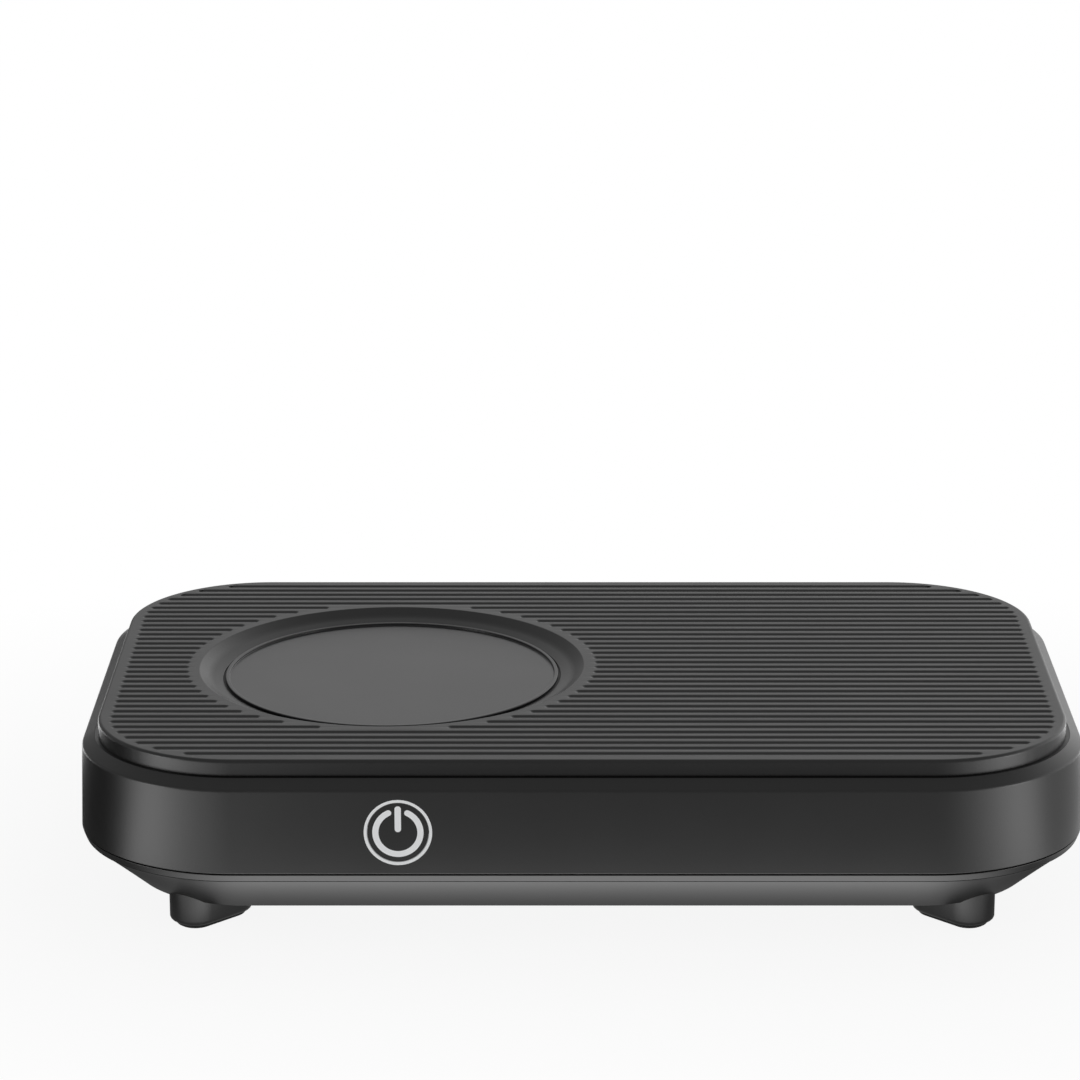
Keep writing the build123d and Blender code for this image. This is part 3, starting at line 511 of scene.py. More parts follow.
def ribbed_cover(base, cover):
    """The cover as one closed surface: the ribbed field, its plain underside, the edge and skirt carried
    round the outline, and the recess turned about its own middle."""
    field = RibbedField(base, cover)
    under = cover.top - cover.thickness
    top = np.stack([field.x, field.y, field.height()], axis=2)
    bottom = np.stack([field.x, field.y, np.full(field.x.shape, under)], axis=2)
    rim_corners = [
        (cover.inset + cover.margin, cover.top, 0),
        (cover.inset, cover.top, cover.edge),
        (cover.inset, cover.undercut_height, UNDERCUT_EDGE * cover.undercut),
        (cover.inset + cover.undercut, cover.undercut_height, 0),
        (cover.inset + cover.undercut, cover.skirt_foot, 0),
        (cover.inset + cover.margin, cover.skirt_foot, 0),
        (cover.inset + cover.margin, under, 0),
    ]
    edge = stations_through(field.border(), field.centres)
    rim = carried(edge, rounded_section(rim_corners, steps=7), base.corner)
    # The dish bends once, a little further out and lower than half way between the lip and the opening.
    dish_out, dish_sag, dish_bend = 0.2 * MM, 0.38 * MM, 5 * MM
    dish_radius = (cover.recess_radius + cover.recess_opening) / 2 + dish_out
    dish_height = (cover.top + cover.recess_floor) / 2 - dish_sag
    opening_edge, collar = 0.25 * MM, 2.2 * MM
    collar_foot = cover.recess_floor - collar
    recess_corners = [
        (field.hole, cover.top, 0),
        (cover.recess_radius, cover.top, cover.recess_lip),
        (dish_radius, dish_height, dish_bend),
        (cover.recess_opening, cover.recess_floor, opening_edge),
        (cover.recess_opening, collar_foot, 0),
        (field.hole, collar_foot, 0),
        (field.hole, under, 0),
    ]
    centre = (cover.recess_x, cover.recess_y)
    recess = turned(field.recess_angles(), rounded_section(recess_corners, steps=7), centre)
    vertices, faces, start = [], [], 0
    for block in (top, bottom, rim, recess):
        is_field = block is top or block is bottom
        ring_faces = grid_faces(*block.shape[:2], wrap_rows=True, start=start)
        vertices.append(block.reshape(-1, 3))
        faces.append(field.faces(start) if is_field else ring_faces)
        start += len(vertices[-1])
    return finished("ribbed_cover", np.vstack(vertices), np.vstack(faces), crease=50)


# ---- housing --------------------------------------------------------------------------------------
class Hole:
    """A round hole through a wall that a square block of the wall's grid is bent round. Points on the
    block's edge move onto the circle and points on the outer square stay, in even steps between."""

    # Rings between the outer square and the block, and even turns across the block.
    RINGS = np.array([1.0, 0.8, 0.6, 0.4, 0.2])
    TURNS = np.tan(np.linspace(-pi / 4, pi / 4, 11))
    # Half the side of the block, as a share of the hole's radius.
    BLOCK = 0.72
    # How far round a hole the inner wall's rows are brought level with the outer wall's.
    EASE = 0.3 * MM
    # Rounding allowed when the block's rows and columns are picked, in metres.
    SLACK = 1e-7

    def __init__(self, x, z, radius, outer):
        self.x, self.z, self.radius, self.outer = x, z, radius, outer
        self.block = self.BLOCK * radius

    def lines(self):
        ring = self.block + (self.outer - self.block) * self.RINGS
        return np.concatenate([-ring, self.block * self.TURNS, ring[::-1]])

    def bend(self, x, z):
        dx, dz = x - self.x, z - self.z
        square = np.maximum(np.abs(dx), np.abs(dz))
        near = (square <= self.outer * 1.0001) & (square > 0)
        turn = np.arctan2(dz, dx)
        share = np.clip((square - self.block) / (self.outer - self.block), 0, 1)
        scale = np.where(near, self.outer / np.maximum(square, 1e-9), 1)
        bent_x = self.x + self.radius * np.cos(turn) * (1 - share) + dx * scale * share
        bent_z = self.z + self.radius * np.sin(turn) * (1 - share) + dz * scale * share
        return np.where(near, bent_x, x), np.where(near, bent_z, z)


def wall_inset(base, z):
    return base.draft * (z - base.parting) / (base.shoulder - base.parting)


def housing_shell(base, cover, holes):
    """The housing's closed section carried round the outline: drafted wall, shoulder, the ledge that the
    cover stands on, inner wall and parting face. The wall's grid is bent round the button and the inlet."""
    button = Hole(holes.button_x, holes.button_z, holes.button_hole, outer=8.2 * MM)
    inlet = Hole(holes.inlet_x, holes.inlet_z, holes.inlet_hole, outer=6.0 * MM)
    heights = np.unique(np.concatenate([button.z + button.lines(), inlet.z + inlet.lines()]).round(7))
    edge = base.draft + base.shoulder_width
    gap_floor = base.shoulder_inner - 0.12 * MM
    gap_edge = cover.inset + cover.undercut - 0.06 * MM
    seat = cover.skirt_foot - 0.05 * MM
    ledge_edge = edge + 4.6 * MM
    ledge_foot = cover.skirt_foot - 0.3 * MM
    rib_width, rib_height, rib_edge = 1.2 * MM, 1.4 * MM, 0.2 * MM
    upper = rounded_section(
        [
            (wall_inset(base, heights[-1]), heights[-1], 0),
            (base.draft, base.shoulder, base.shoulder_edge),
            (edge, base.shoulder_inner, 0.08 * MM),
            (edge, gap_floor, 0),
            (gap_edge, gap_floor, 0),
            (gap_edge, seat, 0),
            (ledge_edge - rib_width, seat, 0),
            (ledge_edge - rib_width, cover.skirt_foot + rib_height, rib_edge),
            (ledge_edge, cover.skirt_foot + rib_height, rib_edge),
            (ledge_edge, ledge_foot, 0),
            (base.wall + base.draft, ledge_foot, 0),
            (base.wall, base.parting, 0),
        ],
        steps=7,
    )[1:-1]
    # The inner wall's rows lie lower than the outer wall's, so that they stay clear of the ledge.
    row_drop = 0.7 * MM
    inner = heights[::-1] - row_drop
    joint_foot = base.parting - 0.3 * MM
    lower = rounded_section(
        [
            (base.wall, inner[-1], 0),
            (base.wall, joint_foot, 0),
            (base.wall / 2, joint_foot, 0),
            (base.wall / 2, base.parting, 0),
            (0, base.parting, 0.12 * MM),
            (wall_inset(base, heights[0]), heights[0], 0),
        ],
        steps=3,
    )[1:-1]
    outer_wall = np.stack([wall_inset(base, heights), heights], axis=1)
    inner_wall = np.stack([base.wall + wall_inset(base, inner), inner], axis=1)
    section = np.vstack([outer_wall, upper, inner_wall, lower])
    stations = outline_stations(base, front=button.x + button.lines(), back=inlet.x + inlet.lines())
    shell = carried(stations, section, base.corner)
    outer_rows = np.arange(len(heights))
    inner_rows = len(heights) + len(upper) + outer_rows
    quads = grid_faces(*shell.shape[:2], wrap_rows=True, wrap_columns=True)
    tubes = []
    for hole, side in ((button, -1), (inlet, 1)):
        facing = np.flatnonzero(np.isclose(stations[1][:, 1], side, atol=1e-9))
        facing = facing[np.argsort(shell[facing, 0, 0])]
        reach = hole.block + Hole.SLACK
        columns = facing[np.abs(shell[facing, 0, 0] - hole.x) <= reach]
        loops = []
        for rows, inset, drop in ((outer_rows, 0.0, 0.0), (inner_rows, base.wall, row_drop)):
            patch = shell[np.ix_(facing, rows)]
            x, z = hole.bend(patch[..., 0], patch[..., 2] + drop)
            beyond = np.hypot(x - hole.x, z - hole.z) - hole.radius
            z = z - drop * np.clip(beyond / Hole.EASE, 0, 1)
            y = side * (base.depth / 2 - inset - wall_inset(base, z))
            shell[np.ix_(facing, rows)] = np.stack([x, y, z], axis=-1)
            inside = rows[np.abs(section[rows, 1] + drop - hole.z) <= reach]
            inside = inside[np.argsort(section[inside, 1])]
            block = columns[:, None] * shell.shape[1] + inside[None, :]
            loops.append(
                np.concatenate([block[:, 0], block[-1, 1:], block[-2::-1, -1], block[0, -2:0:-1]])
            )
            quads = quads[~np.isin(quads, block).all(axis=1)]
        outside, within = loops
        tubes.append(np.stack([outside, np.roll(outside, -1), np.roll(within, -1), within], axis=1))
    faces = np.vstack([quads, *tubes])
    return finished("housing_shell", shell, faces, crease=28)


# ---- bottom cover, feet and pads ------------------------------------------------------------------
def plate_between(stations, height):
    """The flat left inside a carried section: a grid over the rectangle between the corner centres."""
    x = np.unique(stations[0][:, 0].round(8))
    y = np.unique(stations[0][:, 1].round(8))
    grid = np.stack(np.meshgrid(x, y, indexing="ij"), axis=2)
    return np.concatenate([grid, np.full((*grid.shape[:2], 1), height)], axis=2)


def bottom_shell(base):
    """The bottom cover: lip, fine line, long straight bevel and flat underside, carried round the outline
    and closed across the middle above and below. At the corners the bevel is drawn in as a larger radius
    would draw it: by the growth times (the sum of the outward direction's parts less one) times the root of
    the share of the way down."""
    lip = base.parting - 0.3 * MM
    lip_inset = 0.1 * MM
    floor = base.underside + 2.2 * MM
    floor_edge, floor_round = base.bevel + 1.5 * MM, 0.5 * MM
    rim_inset, rim_inside = 2.7 * MM, 4.3 * MM
    rim_top, rim_edge = lip + 3.4 * MM, 0.2 * MM
    # The fine line is a small notch just above the bevel.
    line_top = (0.68 * MM, base.line_height + 0.1 * MM, 0)
    line_foot = (0.95 * MM, base.line_height + 0.03 * MM, 0)
    line_inset, line = 0.85 * MM, base.line_height - 0.1 * MM
    shares = np.array([0.04, 0.12, 0.25, 0.45, 0.7])[:, None]
    slope = np.array([line_inset, line]) * (1 - shares) + np.array([base.bevel, base.underside]) * shares
    corners = [
        (base.corner, floor, 0),
        (floor_edge, floor, floor_round),
        (rim_inside, lip - 2.5 * MM, 0),
        (rim_inside, rim_top, rim_edge),
        (rim_inset, rim_top, rim_edge),
        (rim_inset, lip, 0),
        (lip_inset, lip, 0.1 * MM),
        line_top,
        line_foot,
        (line_inset, line, 0),
        *[(inset, height, 0) for inset, height in slope],
        (base.bevel, base.underside, base.bevel_edge),
        (base.corner, base.underside, 0),
    ]
    section = rounded_section(corners)
    outer_start = int(np.argmin(np.abs(section - [lip_inset, lip]).sum(axis=1)))
    straight = np.linspace(-60, 60, 13) * MM
    stations = outline_stations(base, front=straight, back=straight)
    shell = carried(stations, section, base.corner)
    across = np.abs(stations[1]).sum(axis=1) - 1
    low = np.clip((line - section[:, 1]) / (line - base.underside), 0, 1)
    row = np.arange(len(section))
    bevelled = (row >= outer_start) & (row < len(section) - 1)
    drawn = base.corner_growth * across[:, None] * np.sqrt(low) * bevelled
    shell[..., :2] -= stations[1][:, None, :] * drawn[..., None]
    vertices, faces = [shell.reshape(-1, 3)], [grid_faces(*shell.shape[:2], wrap_rows=True)]
    start = len(vertices[0])
    for height in (floor, base.underside):
        plate = plate_between(stations, height)
        vertices.append(plate.reshape(-1, 3))
        faces.append(grid_faces(*plate.shape[:2], start=start))
        start += len(vertices[-1])
    return np.vstack(vertices), np.vstack(faces)


def foot_outline(feet, steps=8):
    """Stations round a foot's rounded rectangle: corner centres and outward directions."""
    centres = np.array([feet.long_side / 2 - feet.corner, feet.short_side / 2 - feet.corner])
    quarter = np.linspace(0, pi / 2, steps + 1)
    turn = np.concatenate([quarter + k * pi / 2 for k in range(4)])
    signs = np.repeat(np.array([[1, 1], [-1, 1], [-1, -1], [1, -1]]), steps + 1, axis=0)
    return signs * centres, np.stack([np.cos(turn), np.sin(turn)], axis=1)


def foot_block(feet, section):
    """A foot's section of (inset, height) carried round its outline, its first and last rows closed by rows
    on the line through the middle. It is copied to the four places, each turned to point at the middle of
    the base."""
    stations = foot_outline(feet)
    ring = carried(stations, section, feet.corner)
    spine = np.stack([stations[0][:, 0], np.zeros(len(stations[0]))], axis=1)[:, None, :]
    first, last = [np.concatenate([spine, ring[:, [row], 2:]], axis=2) for row in (0, -1)]
    block = np.concatenate([first, ring, last], axis=1)
    vertices, faces, start = [], [], 0
    for sx in (-1, 1):
        for sy in (-1, 1):
            turn = sx * sy * feet.angle
            cos, sin = np.cos(turn), np.sin(turn)
            across = block[..., 0] * cos - block[..., 1] * sin + sx * feet.x
            along = block[..., 0] * sin + block[..., 1] * cos + sy * feet.y
            vertices.append(np.stack([across, along, block[..., 2]], axis=-1).reshape(-1, 3))
            faces.append(grid_faces(*block.shape[:2], wrap_rows=True, start=start))
            start += len(vertices[-1])
    return np.vstack(vertices), np.vstack(faces)


# ---- finishes -------------------------------------------------------------------------------------
def add(tree, kind, links=None, **settings):
    """Adds a node, sets its properties, and gives its inputs their values or links."""
    node = tree.nodes.new(kind)
    for key, value in settings.items():
        setattr(node, key, value)
    for socket, value in (links or {}).items():
        if isinstance(value, bpy.types.NodeSocket):
            tree.links.new(value, node.inputs[socket])
        else:
            node.inputs[socket].default_value = value
    return node


def surface(name, sockets):
    """A new material with one Principled shader, and where its pattern starts: Object coordinates."""
    material = bpy.data.materials.new(name)
    material.use_nodes = True
    tree = material.node_tree
    tree.nodes.clear()
    shader = add(tree, "ShaderNodeBsdfPrincipled", sockets)
    output = add(tree, "ShaderNodeOutputMaterial")
    tree.links.new(shader.outputs["BSDF"], output.inputs["Surface"])
    coordinates = add(tree, "ShaderNodeTexCoord")
    return material, tree, shader, coordinates.outputs["Object"]


def per_metre(size_mm):
    """Noise scale that makes one feature about size_mm wide, with coordinates in metres."""
    return 1000 / size_mm


def grained(name, base_colour, roughness, grain_mm, grain_height_mm, spread=0.25, ior=1.5, metallic=0.0):
    """A finish with a fine grain in its height and colour and a slow drift in its gloss."""
    sockets = {"Roughness": roughness, "IOR": ior, "Metallic": metallic}
    material, tree, shader, place_on = surface(name, sockets)
    fine = {"Vector": place_on, "Scale": per_metre(grain_mm), "Detail": 3.0, "Roughness": 0.6}
    grain = add(tree, "ShaderNodeTexNoise", fine)
    broad = {"Vector": place_on, "Scale": per_metre(DRIFT_MM), "Detail": 2.0}
    drift = add(tree, "ShaderNodeTexNoise", broad)
    gloss = add(
        tree,
        "ShaderNodeMapRange",
        {
            "Value": drift.outputs["Fac"],
            "To Min": roughness * (1 - spread / 3),
            "To Max": roughness * (1 + spread / 3),
        },
    )
    dark = tuple(c * (1 - spread / 2) for c in base_colour[:3]) + (1.0,)
    light = tuple(min(c * (1 + spread / 2), 1.0) for c in base_colour[:3]) + (1.0,)
    shades = {"Factor": grain.outputs["Fac"], "A": dark, "B": light}
    tint = add(tree, "ShaderNodeMix", shades, data_type="RGBA")
    tree.links.new(tint.outputs[2], shader.inputs["Base Color"])
    tree.links.new(gloss.outputs["Result"], shader.inputs["Roughness"])
    bumps = {"Height": grain.outputs["Fac"], "Strength": 1.0, "Distance": grain_height_mm * MM}
    relief = add(tree, "ShaderNodeBump", bumps)
    tree.links.new(relief.outputs["Normal"], shader.inputs["Normal"])
    return material


def moulded_abs(name, base_colour, roughness):
    """Black ABS moulded in a spark-eroded tool: a soft satin with a fine even grain. The real grain is about
    0.1 mm; it is drawn at 0.45 mm, the least that shows."""
    return grained(name, base_colour, roughness, grain_mm=0.45, grain_height_mm=0.012, spread=0.2, ior=1.53)


def build_finishes(finish):
    """One material for each finish, by the record's material slot. After its name and colour, each has its
    roughness and the width and height of its grain in millimetres. Most of the real grains are finer: they
    are drawn this coarse so that they show."""
    black = (*finish.black, 1.0)
    dark_rubber = (*finish.rubber_black, 1.0)
    coating = (*finish.plate_black, 1.0)
    milky = (*finish.symbol_grey, 1.0)
    warm_white, mask_green = linear(0xC9C5B8), linear(0x14532B)
    made = {
        # Moulded black: a soft satin, and on the cap a slightly clearer one.
        "cover": moulded_abs("moulded_abs_cover", black, finish.satin),
        "housing": moulded_abs("moulded_abs_housing", black, finish.satin),
        "bottom": moulded_abs("moulded_abs_bottom", black, finish.satin),
        "cap": moulded_abs("moulded_abs_cap", black, finish.satin * 0.9),
        # Rubber: no gloss, a slightly dusty grain.
        "rubber": grained("moulded_rubber", dark_rubber, 0.75, 0.6, 0.02),
        # Silicone: as dark, with a faint waxy gloss.
        "silicone": grained("silicone_gasket", dark_rubber, 0.6, 0.8, 0.01),
        # Baked coating on aluminium: smoother than the plastic round it.
        "plate": grained("coated_aluminium", coating, 0.3, 0.35, 0.006, spread=0.15),
        # Milky polycarbonate: even and light, with a soft gloss.
        "lens": grained("opal_polycarbonate", milky, 0.35, 0.5, 0.002, spread=0.04, ior=1.58),
        # Zinc on steel: a pale, slightly bluish metal with soft glints.
        "steel": grained("zinc_plated_steel", linear(0xB4B7BC), 0.32, 0.4, 0.004, spread=0.15, metallic=1.0),
        # Galvanised sheet: duller, with broad lighter and darker flecks.
        "bracket": grained("galvanised_sheet", linear(0xA9ADB2), 0.4, 2.5, 0.004, spread=0.3, metallic=1.0),
        # Nickel on brass: a warm white metal, the brightest of them.
        "nickel": grained("nickel_plated_brass", warm_white, 0.22, 0.5, 0.002, spread=0.1, metallic=1.0),
        # Enamelled winding: orange, with the fine unevenness of many turns.
        "copper": grained("enamelled_copper", linear(0xB5683A), 0.35, 0.5, 0.05, spread=0.3, metallic=1.0),
        # Drawn can: plain silver with a soft gloss.
        "capacitor": grained("aluminium_can", linear(0xB9BDC2), 0.3, 0.5, 0.003, spread=0.1, metallic=1.0),
        # Silicone rubber heater: rust orange and matt.
        "heater": grained("silicone_rubber_heater", linear(0xB4531F), 0.65, 0.6, 0.01),
        # Felt: cream, fully matt and rough to look at.
        "felt": grained("glass_fibre_felt", linear(0xD9D4C4), 0.95, 0.5, 0.15, spread=0.3),
        # Fired ceramic: off-white, even and smooth.
        "ceramic": grained("ceramic_body", linear(0xD8D6CE), 0.4, 0.6, 0.005, spread=0.06),
        # Ferrite: charcoal and dull.
        "ferrite": grained("sintered_ferrite", linear(0x2B2C2E), 0.7, 0.4, 0.01),
        # Pressed powder: dark grey, matt and finely speckled.
        "inductor": grained("pressed_iron_powder", linear(0x3A3B3D), 0.75, 0.3, 0.02),
        # Undyed nylon: cream, with a dull sheen.
        "inner_plastic": grained("natural_nylon", linear(0xCFCCBF), 0.5, 0.6, 0.008, spread=0.08, ior=1.53),
        # Solder mask: deep green under a lacquer's gloss.
        "circuit_board": grained("green_solder_mask", mask_green, 0.35, 0.8, 0.006, spread=0.2, ior=1.55),
        # Epoxy package: nearly black and matt.
        "chip": grained("epoxy_package", linear(0x1C1C1E), 0.6, 0.2, 0.006),
        # Film capacitor's box: smooth red.
        "film": grained("red_film_box", linear(0xB02A1C), 0.35, 0.8, 0.003, spread=0.1),
        # Ivory nylon: pale, with a dull sheen.
        "socket": grained("ivory_nylon_socket", linear(0xE0DDCF), 0.45, 0.6, 0.004, spread=0.06),
        # Glass-filled nylon: black, its gloss broken by a fine grain.
        "jack": grained("glass_filled_nylon", linear(0x17171A), 0.5, 0.4, 0.01),
        # Clear epoxy, drawn opaque: pale yellow with a sharp glint.
        "led": grained("clear_led_epoxy", linear(0xEDE8BE), 0.15, 0.6, 0.001, spread=0.05),
        # Dark nylon: nearly black, with a dull sheen.
        "switch": grained("switch_nylon", linear(0x232326), 0.5, 0.4, 0.006),
        # Silicone sleeve: deep red and half matt.
        "wire": grained("red_silicone_sleeve", linear(0x8E1410), 0.5, 0.6, 0.01, spread=0.1),
        # Ribbon cable: off-white and smooth.
        "cable": grained("white_ribbon", linear(0xD9D8D2), 0.4, 0.7, 0.004, spread=0.06),
    }
    # Painted glow: the milky plastic gives off light of its own colour, so the symbol and its ring stay
    # evenly light under any lamp.
    glow = made["lens"].node_tree.nodes["Principled BSDF"].inputs
    glow["Emission Color"].default_value = milky
    glow["Emission Strength"].default_value = finish.glow
    return made


def finish_of(slot):
    """The material made for one of the record's slots."""
    return bpy.data.materials[bpy.context.scene["warmer_finish_names"][slot]]


# ---- operators ------------------------------------------------------------------------------------
class WARMER_OT_finishes(bpy.types.Operator):
    """Make the finishes and give them to the solids that show as they are"""

    bl_idname = "warmer.finishes"
    bl_label = "Finishes"

    def execute(self, context):
        made = build_finishes(context.scene.warmer_finish)
        context.scene["warmer_finish_names"] = {slot: material.name for slot, material in made.items()}
        for part in frame["record"]["subparts"]:
            node = frame["nodes"][part["node"]]
            for material_slot in node.material_slots:
                material_slot.material = made[part["material_slot"]]
        return {"FINISHED"}


class WARMER_OT_cover(bpy.types.Operator):
    """Build the ribbed top cover with its dished recess"""

    bl_idname = "warmer.cover"
    bl_label = "Ribbed cover"

    def execute(self, context):
        piece = ribbed_cover(context.scene.warmer_base, context.scene.warmer_cover)
        place(piece, finish_of("cover"), "cover", "top_cover")
        return {"FINISHED"}


class WARMER_OT_housing(bpy.types.Operator):
    """Build the housing with its shoulder, ledge and two holes"""

    bl_idname = "warmer.housing"
    bl_label = "Housing"

    def execute(self, context):
        scene = context.scene
        piece = housing_shell(scene.warmer_base, scene.warmer_cover, scene.warmer_holes)
        place(piece, finish_of("housing"), "housing", "housing")
        return {"FINISHED"}


class WARMER_OT_bottom(bpy.types.Operator):
    """Build the bottom cover with its bevel and four feet"""

    bl_idname = "warmer.bottom"
    bl_label = "Bottom cover"

    def execute(self, context):
        base, feet = context.scene.warmer_base, context.scene.warmer_feet
        vertices, faces = bottom_shell(base)
        buried = base.underside + feet.depth_in
        section = rounded_section(
            [
                (feet.corner, feet.pad_top, 0),
                (0, feet.pad_top, feet.edge),
                (0, buried, 0),
                (feet.corner, buried, 0),
            ],
            steps=5,
        )
        foot_vertices, foot_faces = foot_block(feet, section)
        faces = np.vstack([faces, foot_faces + len(vertices)])
        piece = finished("bottom_shell", np.vstack([vertices, foot_vertices]), faces, crease=28)
        place(piece, finish_of("bottom"), "bottom", "bottom_cover")
        return {"FINISHED"}


class WARMER_OT_pads(bpy.types.Operator):
    """Build the rubber pads under the feet"""

    bl_idname = "warmer.pads"
    bl_label = "Foot pads"

    def execute(self, context):
        feet = context.scene.warmer_feet
        pad_edge = 0.7 * MM
        section = rounded_section(
            [
                (feet.corner, 0, 0),
                (feet.pad_inset, 0, pad_edge),
                (feet.pad_inset, feet.pad_top, 0),
                (feet.corner, feet.pad_top, 0),
            ],
            steps=5,
        )
        piece = finished("rubber_pads", *foot_block(feet, section))
        place(piece, finish_of("rubber"), "rubber", "foot_pads")
        return {"FINISHED"}


class WARMER_OT_plate(bpy.types.Operator):
    """Build the heating plate with its raised rim"""

    bl_idname = "warmer.plate"
    bl_label = "Heating plate"

    def execute(self, context):
        cover, plate = context.scene.warmer_cover, context.scene.warmer_plate
        flange_top = plate.flange_foot + plate.flange_thickness
        rim_inside = plate.radius - plate.rim_width
        section = rounded_section(
            [
                (0, cover.recess_floor, 0),
                (rim_inside, cover.recess_floor, plate.rim_foot),
                (rim_inside, plate.rim_top, plate.rim_edge),
                (plate.radius, plate.rim_top, plate.rim_edge),
                (plate.radius, flange_top, 0),
                (plate.flange_radius, flange_top, 0),
                (plate.flange_radius, plate.flange_foot, 0),
                (0, plate.flange_foot, 0),
            ],
            steps=5,
        )
        segments = 160
        angles = np.linspace(0, 2 * pi, segments, endpoint=False)
        disc = turned(angles, section, (cover.recess_x, cover.recess_y))
        piece = finished("heating_plate_disc", disc, grid_faces(*disc.shape[:2], wrap_rows=True))
        place(piece, finish_of("plate"), "plate", "heating_plate")
        return {"FINISHED"}


